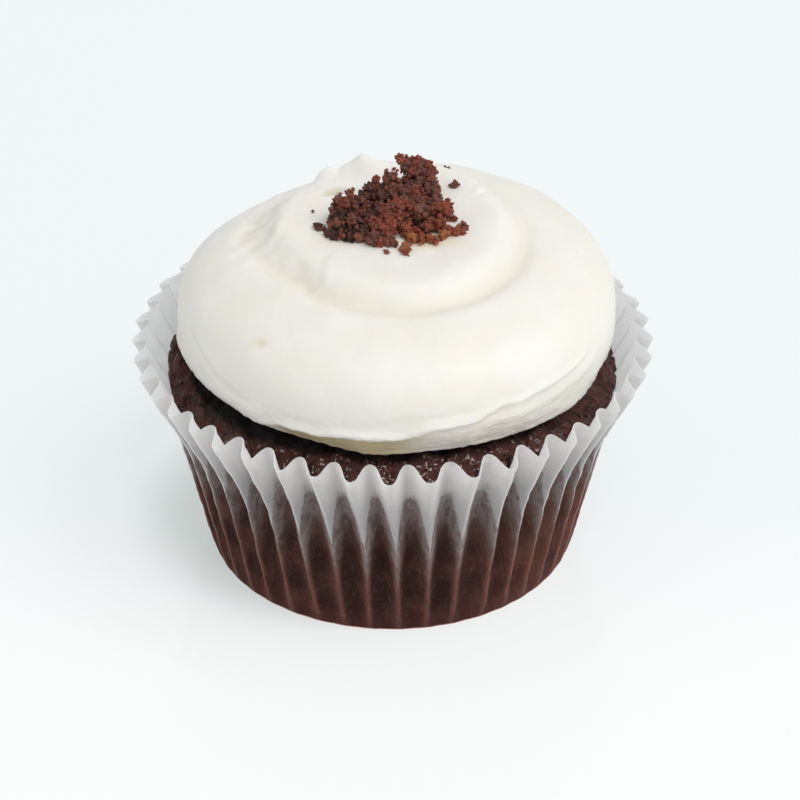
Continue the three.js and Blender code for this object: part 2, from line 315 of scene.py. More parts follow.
class Nodes:
    """Adds the nodes of one material or one node group, and joins them."""

    def __init__(self, tree: bpy.types.NodeTree) -> None:
        """Keep the tree that the nodes go in."""
        self.tree = tree

    def add(self, kind: str, inputs: dict | None = None, **settings: object) -> bpy.types.Node:
        """Add a node.

        Args:
            kind: The node's type.
            inputs: A value or another node's socket for each named or numbered input.
            settings: The node's own settings.

        Returns:
            The node.
        """
        node = self.tree.nodes.new(kind)
        for key, value in settings.items():
            setattr(node, key, value)
        for key, value in (inputs or {}).items():
            self.feed(node.inputs[key], value)
        return node

    def feed(self, socket: bpy.types.NodeSocket, value: object) -> None:
        """Join a socket to another node's socket, or set its value."""
        if isinstance(value, bpy.types.NodeSocket):
            self.tree.links.new(value, socket)
        elif socket.type == "RGBA" and len(value) == 3:
            socket.default_value = (*value, 1.0)
        else:
            socket.default_value = value

    def math(self, operation: str, *values: object) -> bpy.types.NodeSocket:
        """Do a sum on one, two or three values."""
        return self.add("ShaderNodeMath", dict(enumerate(values)), operation=operation).outputs[0]

    def mix(self, share: object, first: object, second: object) -> bpy.types.NodeSocket:
        """Mix two colours."""
        node = self.add("ShaderNodeMix", {0: share, 6: first, 7: second}, data_type="RGBA")
        return node.outputs[2]

    def rise(self, value: object, low: float, high: float) -> bpy.types.NodeSocket:
        """Rise smoothly from 0 at low to 1 at high."""
        inputs = {"Value": value, "From Min": low, "From Max": high}
        return self.add("ShaderNodeMapRange", inputs, interpolation_type="SMOOTHSTEP").outputs[0]

    def noise(self, place: object, size: float, detail: float = 2.0,
              twist: float = 0.0) -> bpy.types.NodeSocket:
        """Return a cloudy pattern with features of a size in millimetres."""
        inputs = {"Vector": place, "Scale": 1.0 / (size * MM), "Detail": detail, "Distortion": twist}
        return self.add("ShaderNodeTexNoise", inputs).outputs["Fac"]

    def stretched(self, place: object, scale: tuple[float, float, float],
                  turned: tuple[float, float, float] = (0.0, 0.0, 0.0)) -> bpy.types.NodeSocket:
        """Stretch and turn the coordinates that a pattern reads."""
        inputs = {"Vector": place, "Scale": scale, "Rotation": turned}
        return self.add("ShaderNodeMapping", inputs).outputs[0]

    def mark(self, name: str) -> bpy.types.NodeSocket:
        """Read a number that is kept at the corners."""
        return self.add("ShaderNodeAttribute", attribute_name=name).outputs["Fac"]

    def place(self) -> bpy.types.NodeSocket:
        """Return Object coordinates."""
        return self.add("ShaderNodeTexCoord").outputs["Object"]

    def height_of(self, place: object) -> bpy.types.NodeSocket:
        """Return the height above the base in millimetres."""
        return self.math("MULTIPLY", self.part(place, 2), 1.0 / MM)

    def part(self, place: object, number: int) -> bpy.types.NodeSocket:
        """Return x, y or z of some coordinates, by its number."""
        return self.add("ShaderNodeSeparateXYZ", {0: place}).outputs[number]

    def less(self, value: object) -> bpy.types.NodeSocket:
        """Return 1 less a value."""
        return self.math("SUBTRACT", 1.0, value)

    def times(self, first: object, second: object) -> bpy.types.NodeSocket:
        """Multiply two values."""
        return self.math("MULTIPLY", first, second)

    def times_plus(self, value: object, factor: float, start: object) -> bpy.types.NodeSocket:
        """Multiply a value by a factor and add a start."""
        return self.math("MULTIPLY_ADD", value, factor, start)

    def bump(self, height: object, strength: float, distance: float,
             under: object = None) -> bpy.types.NodeSocket:
        """Turn a height into a normal.

        Args:
            height: The pattern, from 0 to 1.
            strength: How much of it shows.
            distance: Its height in millimetres.
            under: A normal that it is added to.

        Returns:
            The normal.
        """
        inputs = {"Height": height, "Strength": strength, "Distance": distance * MM}
        if under is not None:
            inputs["Normal"] = under
        return self.add("ShaderNodeBump", inputs).outputs[0]


def grain_group() -> bpy.types.NodeTree:
    """Make the shared grain: blotches and fine grit at two sizes, on any coordinates.

    Returns:
        The node group, which gives both patterns and their sum as a height.
    """
    if "grain" in bpy.data.node_groups:
        return bpy.data.node_groups["grain"]
    group = bpy.data.node_groups.new("grain", "ShaderNodeTree")
    for name, kind in (("Place", "NodeSocketVector"), ("Blotch Scale", "NodeSocketFloat"),
                       ("Grit Scale", "NodeSocketFloat"), ("Grit Share", "NodeSocketFloat")):
        group.interface.new_socket(name, in_out="INPUT", socket_type=kind)
    for name in ("Blotches", "Grit", "Height"):
        group.interface.new_socket(name, in_out="OUTPUT", socket_type="NodeSocketFloat")
    nodes = Nodes(group)
    given = nodes.add("NodeGroupInput").outputs
    blotches = nodes.add("ShaderNodeTexNoise", {"Vector": given["Place"], "Scale": given["Blotch Scale"],
                                                "Detail": 3.0}).outputs["Fac"]
    grit = nodes.add("ShaderNodeTexNoise", {"Vector": given["Place"], "Scale": given["Grit Scale"],
                                            "Detail": 4.0, "Roughness": 0.65}).outputs["Fac"]
    height = nodes.add("ShaderNodeMix", {0: given["Grit Share"], 2: blotches, 3: grit}).outputs[0]
    nodes.add("NodeGroupOutput", {"Blotches": blotches, "Grit": grit, "Height": height})
    return group


def grain(nodes: Nodes, place: object, blotch: float, grit: float, grit_share: float) -> dict:
    """Place the shared grain in a material.

    Args:
        nodes: The material's nodes.
        place: The coordinates that it reads.
        blotch: The size of the blotches in millimetres.
        grit: The size of the grit in millimetres.
        grit_share: The grit's share of the height.

    Returns:
        The group's output sockets by name.
    """
    inputs = {"Place": place, "Blotch Scale": 1.0 / (blotch * MM), "Grit Scale": 1.0 / (grit * MM),
              "Grit Share": grit_share}
    node = nodes.add("ShaderNodeGroup", inputs, node_tree=grain_group())
    return {output.name: output for output in node.outputs}


def new_material(name: str) -> tuple[bpy.types.Material, Nodes, bpy.types.Node]:
    """Make a material that holds only a Principled BSDF.

    Args:
        name: The material's name.

    Returns:
        The material, its nodes and the shader.
    """
    material = bpy.data.materials.new(name)
    material.use_nodes = True
    nodes = Nodes(material.node_tree)
    shader = next(node for node in material.node_tree.nodes if node.type == "BSDF_PRINCIPLED")
    return material, nodes, shader


@dataclass(frozen=True)
class PaperFinish:
    """White paper that the cake's fat has made dark and see-through low on the wall.

    The foot is a band of heights over the base. The other bands are heights over the edge of the grease.
    """

    # Painted light: the inside of the wall is painted whiter than the outside.
    inner: Colour = (0.985, 0.975, 0.985)
    white: Colour = (0.87, 0.855, 0.865)
    # Painted shade: the outside greys to this towards the grease.
    shaded: Colour = (0.68, 0.645, 0.65)
    haze: Colour = (0.35, 0.295, 0.29)
    damp: Colour = (0.18, 0.11, 0.093)
    # The fold and ridge colours carry painted shade and painted highlight besides the grease's own tone.
    ridge: Colour = (0.175, 0.066, 0.047)
    fold: Colour = (0.034, 0.0115, 0.0085)
    base: Colour = (0.1, 0.028, 0.022)
    wrinkle: Colour = (0.46, 0.4, 0.385)
    foot: Band = (0.6, 4.5)
    damp_band: Band = (-11.5, -3.5)
    haze_band: Band = (-8.0, -0.8)
    wrinkle_band: Band = (-5.5, -0.5)
    white_band: Band = (-0.9, 0.7)
    shade_band: Band = (0.0, 9.0)
    ragged_edge: float = 3.4

    def make(self) -> bpy.types.Material:
        """Make the material.

        Returns:
            The paper's material, which reads the marks dry, ridge and inside.
        """
        material, nodes, shader = new_material("case_paper")
        place = nodes.place()
        texture = grain(nodes, place, 1.3, 0.35, 0.5)
        crumple = nodes.math("SUBTRACT", texture["Height"], 0.5)
        dry = nodes.times_plus(crumple, self.ragged_edge, nodes.mark("dry"))
        # Greased paper: dark folds and lighter ridges, which carry painted shade and painted highlight from
        # the ridge mark, a damp and then a hazy band under the white, a red foot.
        along = nodes.stretched(place, (1.0, 1.0, 0.22))
        streaks = nodes.noise(along, 0.55, 3.0, 0.4)
        grainy = nodes.times_plus(texture["Grit"], 0.5, nodes.mark("ridge"))
        stripe = nodes.rise(nodes.times_plus(streaks, 0.5, grainy), 0.5, 1.5)
        greased = nodes.mix(stripe, self.fold, self.ridge)
        low = nodes.less(nodes.rise(nodes.height_of(place), *self.foot))
        greased = nodes.mix(nodes.times(low, 0.55), greased, self.base)
        pleats = nodes.noise(nodes.stretched(place, (1.0, 1.0, 0.3)), 0.8, 3.0, 0.5)
        patchy = nodes.times_plus(nodes.rise(pleats, 0.38, 0.62), 0.5, 0.4)
        for band, colour in ((self.damp_band, self.damp), (self.haze_band, self.haze)):
            greased = nodes.mix(nodes.times(nodes.rise(dry, *band), patchy), greased, colour)
        fine = nodes.stretched(place, (1.0, 1.0, 0.3), (0.35, 0.25, 0.0))
        lines = nodes.rise(nodes.noise(fine, 0.42, 4.0, 0.8), 0.54, 0.68)
        near = nodes.rise(dry, *self.wrinkle_band)
        greased = nodes.mix(nodes.times(lines, nodes.times_plus(near, 0.5, 0.05)), greased, self.wrinkle)
        # White paper with painted shade, greyer down towards the greased part; the inside painted whiter, as
        # painted light.
        painted_shade = nodes.less(nodes.rise(dry, *self.shade_band))
        white = nodes.mix(nodes.mark("inside"), nodes.mix(painted_shade, self.white, self.shaded), self.inner)
        whiteness = nodes.rise(dry, *self.white_band)
        nodes.feed(shader.inputs["Base Color"], nodes.mix(whiteness, greased, white))
        dull = nodes.times_plus(whiteness, 0.2, 0.55)
        nodes.feed(shader.inputs["Roughness"], nodes.times_plus(texture["Grit"], 0.12, dull))
        wrinkled = nodes.bump(lines, 0.5, 0.08)
        nodes.feed(shader.inputs["Normal"], nodes.bump(texture["Height"], 0.4, 0.08, wrinkled))
        shader.inputs["Specular IOR Level"].default_value = 0.08
        shader.inputs["Subsurface Weight"].default_value = 0.95
        shader.inputs["Subsurface Radius"].default_value = (1.0, 1.0, 1.0)
        shader.inputs["Subsurface Scale"].default_value = 0.0025
        return material


@dataclass(frozen=True)
class SpongeFinish:
    """Moist dark chocolate cake: dull crumb with glossy wet spots, painted glints and a painted shadow under
    the frosting.
    """

    dark: Colour = (0.024, 0.008, 0.0055)
    brown: Colour = (0.088, 0.03, 0.022)
    red: Colour = (0.17, 0.056, 0.042)
    # Painted highlight: glint specks on the cake's wet front.
    painted_glint: Colour = (0.85, 0.74, 0.72)
    # Near black, for the painted shadow under the frosting's edge.
    covered: Colour = (0.003, 0.0014, 0.001)
    glint_front: Band = (-0.03, -0.014)

    def make(self) -> bpy.types.Material:
        """Make the material, which reads the mark of the painted shadow under the frosting."""
        material, nodes, shader = new_material("chocolate_sponge")
        place = nodes.place()
        texture = grain(nodes, place, 1.2, 0.32, 0.5)
        tone = nodes.mix(nodes.rise(texture["Blotches"], 0.36, 0.5), self.dark, self.brown)
        tone = nodes.mix(nodes.times(nodes.rise(texture["Grit"], 0.52, 0.7), 0.6), tone, self.red)
        covered = nodes.mark("covered")
        wet = nodes.times(nodes.less(covered), nodes.rise(nodes.noise(place, 1.3), 0.46, 0.58))
        # Painted glints: small bright specks where the cake's front is wet, by its y in metres.
        front = nodes.less(nodes.rise(nodes.part(place, 1), *self.glint_front))
        specks = nodes.rise(nodes.noise(place, 0.42, 2.0, 0.8), 0.56, 0.63)
        tone = nodes.mix(nodes.times(nodes.times(wet, front), specks), tone, self.painted_glint)
        # Painted shadow under the frosting's edge, nearly black.
        nodes.feed(shader.inputs["Base Color"], nodes.mix(covered, tone, self.covered))
        nodes.feed(shader.inputs["Roughness"], nodes.times_plus(wet, -0.62, 0.8))
        nodes.feed(shader.inputs["Normal"], nodes.bump(texture["Height"], 1.0, 0.5))
        shader.inputs["Specular IOR Level"].default_value = 0.35
        return material


@dataclass(frozen=True)
class CreamFinish:
    """Smooth cream frosting with warm painted shade in its groove and under its lip."""

    cream: Colour = (0.92, 0.893, 0.815)
    pale: Colour = (0.935, 0.914, 0.862)
    # Painted shade, warm, for the groove and under the lip; the fleck shares this colour.
    hollow: Colour = (0.77, 0.7, 0.5)
    # A yellower tone with painted shade, under the front of the lip and in the fold line.
    butter: Colour = (0.5, 0.4, 0.18)
    stain: Colour = (0.83, 0.62, 0.28)

    def make(self) -> bpy.types.Material:
        """Make the material, which reads three marks: painted shade with the fleck, a yellower tone with
        painted shade, and the stain.
        """
        material, nodes, shader = new_material("cream_frosting")
        place = nodes.place()
        texture = grain(nodes, place, 9.0, 0.7, 0.4)
        tone = nodes.mix(nodes.rise(texture["Blotches"], 0.35, 0.65), self.cream, self.pale)
        for mark, colour in (("hollow", self.hollow), ("butter", self.butter), ("stain", self.stain)):
            tone = nodes.mix(nodes.mark(mark), tone, colour)
        nodes.feed(shader.inputs["Base Color"], tone)
        nodes.feed(shader.inputs["Roughness"], nodes.times_plus(texture["Blotches"], 0.2, 0.4))
        drags = nodes.bump(nodes.noise(nodes.stretched(place, (0.25, 1.0, 1.0)), 1.6, 3.0), 0.16, 0.12)
        nodes.feed(shader.inputs["Normal"], nodes.bump(texture["Grit"], 0.14, 0.1, drags))
        shader.inputs["Subsurface Weight"].default_value = 0.35
        shader.inputs["Subsurface Radius"].default_value = (1.0, 0.8, 0.55)
        shader.inputs["Subsurface Scale"].default_value = 0.0016
        shader.inputs["Specular IOR Level"].default_value = 0.4
        return material


@dataclass(frozen=True)
class CrumbFinish:
    """Crumbled cake: dark brown to red-brown, and orange-brown at the heap's lower right."""

    dark: Colour = (0.05, 0.022, 0.016)
    brown: Colour = (0.2, 0.08, 0.057)
    red: Colour = (0.24, 0.056, 0.033)
    orange: Colour = (0.37, 0.14, 0.052)

    def make(self) -> bpy.types.Material:
        """Make the material, which reads the mark tint."""
        material, nodes, shader = new_material("cake_crumbs")
        place = nodes.place()
        texture = grain(nodes, place, 0.9, 0.2, 0.6)
        tint = nodes.times_plus(nodes.math("SUBTRACT", texture["Height"], 0.5), 2.2, nodes.mark("tint"))
        tone = nodes.mix(nodes.rise(tint, 0.05, 0.4), self.dark, self.brown)
        tone = nodes.mix(nodes.rise(tint, 0.35, 0.7), tone, self.red)
        tone = nodes.mix(nodes.rise(tint, 0.8, 1.2), tone, self.orange)
        nodes.feed(shader.inputs["Base Color"], tone)
        nodes.feed(shader.inputs["Roughness"], nodes.times_plus(texture["Grit"], -0.7, 0.8))
        nodes.feed(shader.inputs["Normal"], nodes.bump(texture["Height"], 1.0, 0.2))
        shader.inputs["Specular IOR Level"].default_value = 0.25
        shader.inputs["Subsurface Weight"].default_value = 0.15
        shader.inputs["Subsurface Radius"].default_value = (1.0, 0.35, 0.15)
        shader.inputs["Subsurface Scale"].default_value = 0.0006
        return material


@dataclass(frozen=True)
class FloorFinish:
    """The pale lit studio floor, with a faint gloss. Its places are in metres."""

    tone: Colour = (0.27, 0.28, 0.28)
    glow: Colour = (0.88, 0.93, 0.935)
    # Painted light: a brighter glow towards the front, and a painted shadow beside the case.
    front_glow: Colour = (0.99, 1.0, 1.0)
    shade: Colour = (0.64, 0.69, 0.68)
    shade_middle: tuple[float, float, float] = (0.009, -0.003, 0.0)
    shade_edge: Band = (0.018, 0.03)
    front_edge: Band = (-0.04, 0.02)
    cloudiness: float = 1.012
    glow_strength: float = 0.71

    def make(self) -> bpy.types.Material:
        """Make the material."""
        material, nodes, shader = new_material("pale_floor")
        place = nodes.place()
        cloudy = nodes.noise(place, 400.0, 1.0)
        paler = tuple(self.cloudiness * part for part in self.tone)
        nodes.feed(shader.inputs["Base Color"], nodes.mix(cloudy, self.tone, paler))
        shader.inputs["Roughness"].default_value = 0.12
        shader.inputs["Specular IOR Level"].default_value = 0.25
        # Painted shadow round a middle beside the case, and painted light brighter towards the front.
        off = nodes.add("ShaderNodeVectorMath", {0: place, 1: self.shade_middle}, operation="ADD")
        away = nodes.add("ShaderNodeVectorMath", {0: off.outputs[0]}, operation="LENGTH").outputs["Value"]
        lit = nodes.mix(nodes.rise(nodes.part(place, 1), *self.front_edge), self.front_glow, self.glow)
        shaded = nodes.mix(nodes.rise(away, *self.shade_edge), self.shade, lit)
        nodes.feed(shader.inputs["Emission Color"], shaded)
        shader.inputs["Emission Strength"].default_value = self.glow_strength
        return material


def dress(piece: bpy.types.Object, material: bpy.types.Material) -> None:
    """Give a piece its only material."""
    piece.data.materials.clear()
    piece.data.materials.append(material)


# The cupcake's parts


@dataclass
class PaperCase:
    """The fluted paper case: a flat base and a wall of sharp folds that flares to its cut rim."""

    flutes: int = 44
    columns_per_flute: int = 16
    wall_rows: int = 46
    thickness: float = 0.13
    along: tuple[float, ...] = (0.0, 3.0, 21.0, 32.3)
    radii: tuple[float, ...] = (24.75, 25.2, 28.9, 33.4)
    fold_depths: tuple[float, ...] = (0.04, 0.55, 1.1, 1.27)
    side_flare: float = 0.75
    rim_wave: float = 0.45
    crease_sharpness: tuple[float, ...] = (0.8, 0.88, 0.9, 0.4)
    ridge_narrowing: tuple[float, ...] = (1.0, 1.4, 1.3, 1.0)
    fold_fullness: tuple[float, ...] = (0.1, 0.1, 0.3, 1.25)
    base_shares: tuple[float, ...] = (0.35, 0.7, 0.92, 0.985)
    creases: tuple[int, ...] = (0, 1, 2, 3, *range(18, 45))
    crease_turns: tuple[float, ...] = (
        1.3, 9.6, 16.5, 24.7, 146.9, 155.4, 163.0, 171.4, 179.7, 187.9, 196.2, 204.4, 212.4, 220.4, 228.4,
        236.6, 244.9, 252.7, 260.9, 269.3, 278.2, 288.2, 296.9, 305.0, 313.2, 321.3, 329.4, 337.3, 345.1,
        353.2, 361.3)
    leaning: tuple[int, ...] = (26, 28, 29, 30, 31, 32, 33, 34, 35, 36, 37, 39)
    middle_leans: tuple[float, ...] = (0.5, 1.1, 0.8, 0.3, 1.4, 2.0, 1.8, 1.7, 0.2, 1.4, 0.6, 0.5)
    foot_leans: tuple[float, ...] = (-0.3, -0.6, 0.3, 1.8, 1.2, 0.4, 1.0, 0.7, 0.1, 0.4, 1.1, 0.3)
    tip_heights: tuple[float, ...] = (17.5, 17.5, 17.5, 16.7, 17.1, 16.1, 15.7, 15.9, 16.7, 17.0, 17.3, 17.3)
    tip_spread: float = 0.6
    grease_high: float = 24.5
    grease_width: float = 0.7
    arch_spread: float = 0.6
    flat_folds: tuple[tuple[float, float, float], ...] = ((212.0, 14.0, 0.32), (332.0, 16.0, 0.25))
    lean_heights: tuple[float, ...] = (0.0, 16.0, 31.0)
    drawn_in: float = 0.07
    crinkle: float = 0.06
    fine_crinkle: float = 0.035
    seed: int = 5

    def share(self, columns: int) -> Points:
        """Return each column's share of the way round."""
        return np.arange(columns) / columns

    def fold_turn(self, share: Points, heights: Points) -> Points:
        """Return the direction of the folds in degrees: the creases are unevenly spaced and lean a little.

        Args:
            share: The share of the way round, by column.
            heights: The heights, by row and column.

        Returns:
            The directions, by row and column.
        """
        number = share * self.flutes
        rim = np.interp(number, self.creases, self.crease_turns)
        middle = np.interp(number, self.leaning, self.middle_leans, period=self.flutes)
        foot = np.interp(number, self.leaning, self.foot_leans, period=self.flutes)
        middle = middle * np.interp(heights, self.lean_heights[1:], (1.0, 0.0))
        return rim + middle + foot * np.interp(heights, self.lean_heights[:2], (1.0, 0.0))

    def fold_wave(self, share: Points, sharpness: Points, narrowing: Points, fullness: Points) -> Points:
        """Return the fold wave, 1 on an outer crease and -1 on an inner one.

        Args:
            share: The share of the way round.
            sharpness: How sharp the creases are, from 0 to 1.
            narrowing: How narrow the outer creases are, where 1 makes both alike.
            fullness: How square the folds are, where nearly 0 leaves them as they are.

        Returns:
            The wave, a little deeper in some folds than in others.
        """
        even = share * 2.0 * np.pi
        wave = np.arcsin(sharpness * np.cos(self.flutes * even)) / np.arcsin(sharpness)
        wave = 2.0 * ((1.0 + wave) / 2.0) ** narrowing - 1.0
        wave = np.tanh(fullness * wave) / np.tanh(fullness)
        deeper = 0.08 * np.sin(5 * even + 1.3) + 0.06 * np.sin(11 * even + 0.4)
        flatter = sum(much * bump_at(share * 360.0, at, width) for at, width, much in self.flat_folds)
        return wave * (1.0 + deeper - flatter)

    def wall(self, share: Points) -> tuple[Points, Points]:
        """Return the radius and the height of the wall's outer face, by row and column."""
        along = np.linspace(0.0, self.along[-1] + self.rim_wave, self.wall_rows)
        radius = eased(along, self.along, self.radii, 3.0)[:, None]
        depth = eased(along, self.along, self.fold_depths, 2.0)[:, None]
        sharpness = eased(along, self.along, self.crease_sharpness, 3.0)[:, None]
        narrowing = eased(along, self.along, self.ridge_narrowing, 3.0)[:, None]
        fullness = eased(along, self.along, self.fold_fullness, 3.0)[:, None]
        sides = bump_at(share * 360.0, 180.0, 50.0) + bump_at(share * 360.0, 2.0, 50.0)
        radius = radius + self.side_flare * smoothstep(19.0, 33.0, along)[:, None] * sides[None, :]
        radius = radius + depth * self.fold_wave(share[None, :], sharpness, narrowing, fullness)
        # Some folds stand a little further out than others, and that changes slowly up the wall.
        uneven = Unevenness(self.seed, 0.35).at(share[None, :] * 9.0, along[:, None] * 0.012, 0.0)
        radius += self.drawn_in * uneven * smoothstep(2.0, 12.0, along)[:, None]
        steps = np.diff(along)[:, None] ** 2 - np.diff(radius, axis=0) ** 2
        height = np.vstack([np.zeros(len(share)), np.cumsum(np.sqrt(np.maximum(steps, 0.0)), axis=0)])
        # The cut rim stands higher on the inner creases.
        cut = self.along[-1] - self.rim_wave * np.cos(self.flutes * share * 2.0 * np.pi)
        places = along[:, None] * (cut / along[-1])[None, :]
        radius = np.array([np.interp(places[:, i], along, radius[:, i]) for i in range(len(share))]).T
        height = np.array([np.interp(places[:, i], along, height[:, i]) for i in range(len(share))]).T
        return radius, height

    def radius_at(self, share: Points, heights: tuple[float, ...] | Points) -> Points:
        """Return the radius of the wall's outer face at some heights, by height and column."""
        radius, height = self.wall(share)
        columns = [np.interp(heights, height[:, i], radius[:, i]) for i in range(len(share))]
        return np.array(columns).T

    def grease_line(self, share: Points) -> Points:
        """Return the height up to which the paper is greased, lowest on the outer creases."""
        draw = np.random.default_rng(self.seed)
        tips = draw.uniform(-self.tip_spread, self.tip_spread, self.flutes)
        arches = draw.uniform(-self.arch_spread, self.arch_spread, self.flutes)
        widths = draw.uniform(-0.08, 0.1, self.flutes)
        phase = share * self.flutes
        crease = np.rint(phase).astype(int) % self.flutes
        fold = np.floor(phase).astype(int) % self.flutes
        away = 2.0 * np.abs(phase - np.rint(phase))
        climb = 1.0 - (1.0 - np.clip(away / (self.grease_width + widths[fold]), 0.0, 1.0)) ** 1.25
        low = np.interp(crease, self.leaning, self.tip_heights) + tips[crease]
        return low + (self.grease_high + arches[fold] - low) * climb

    def ridge_tone_and_light(self, share: Points, table: Points) -> Points:
        """Return how light the greased paper is, partly its own tone and partly painted light: painted
        highlight on the outer creases, painted shade just past them.

        Args:
            share: The share of the way round, by column.
            table: The places, by row and column.

        Returns:
            The lightness from 0 to 1, by row and column.
        """
        draw = np.random.default_rng(self.seed + 3)
        fold = np.floor(share * self.flutes).astype(int) % self.flutes
        past = share * self.flutes - np.floor(share * self.flutes)
        # A tone drawn for each fold, painted shade just past each outer crease, and the sides painted lighter
        # than the front.
        panel = draw.uniform(0.0, 0.34, self.flutes)[fold] + 0.28 * smoothstep(0.15, 1.0, past)
        panel = panel + 0.3 * (1.0 - bump_at(share * 360.0, 268.0, 48.0))
        # Painted highlight along the outer creases.
        crease = 0.9 * np.exp(-((past / 0.1) ** 2)) + 0.9 * np.exp(-(((1.0 - past) / 0.15) ** 2))
        x, y, z = table[..., 0], table[..., 1], table[..., 2]
        mottled = 0.13 * Unevenness(self.seed + 4, 3.4).at(x, y, z * 0.5)
        worn = 1.0 + 0.16 * Unevenness(self.seed + 5, 2.2).at(x, y, z * 0.6)
        return np.clip(np.maximum(crease[None, :] * worn, panel[None, :] + mottled), 0.0, 1.0)

    def table(self, share: Points) -> Points:
        """Return the places of the base's and the wall's rows."""
        radius, height = self.wall(share)
        base = np.array([radius[0] * part for part in self.base_shares])
        radii = np.vstack([base, radius])
        heights = np.vstack([np.zeros_like(base), height])
        turn = np.radians(self.fold_turn(share, heights))
        x, y = radii * np.cos(turn), radii * np.sin(turn)
        crinkle = self.crinkle * Unevenness(self.seed + 1, 2.6).at(x, y, heights * 0.8)
        crinkle += self.fine_crinkle * Unevenness(self.seed + 2, 1.2).at(x, y, heights)
        radii = radii + crinkle * smoothstep(0.5, 4.0, heights)
        return np.stack([radii * np.cos(turn), radii * np.sin(turn), heights], axis=-1)

    def build(self) -> bpy.types.Object:
        """Model the case.

        Returns:
            The piece, dressed, riding and in place of its CAD node.
        """
        columns = self.flutes * self.columns_per_flute
        share = self.share(columns)
        table = self.table(share)
        sheet = RowSheet("fluted_paper_case", columns, len(table), closed_above=False)
        move_corners(sheet.piece.data, sheet.spread(table, (0.0, 0.0, 0.0)))
        face_outwards(sheet.piece)
        # The open sheet's first face belongs to the base, so it has to look down.
        if sheet.piece.data.polygons[0].normal.z > 0.5:
            turn_over(sheet.piece)
        dry = table[..., 2] - self.grease_line(share)[None, :]
        mark_corners(sheet.piece.data, "dry", sheet.spread(dry, -20.0))
        mark_corners(sheet.piece.data, "ridge", sheet.spread(self.ridge_tone_and_light(share, table), 0.5))
        outside = len(sheet.piece.data.vertices)
        apply_modifier(sheet.piece, "SOLIDIFY", thickness=self.thickness, offset=-1.0)
        corners = np.arange(len(sheet.piece.data.vertices))
        mark_corners(sheet.piece.data, "inside", (corners >= outside).astype(float))
        shade(sheet.piece, 60.0)
        return finish_piece(sheet.piece, PaperFinish().make(), "paper_case")


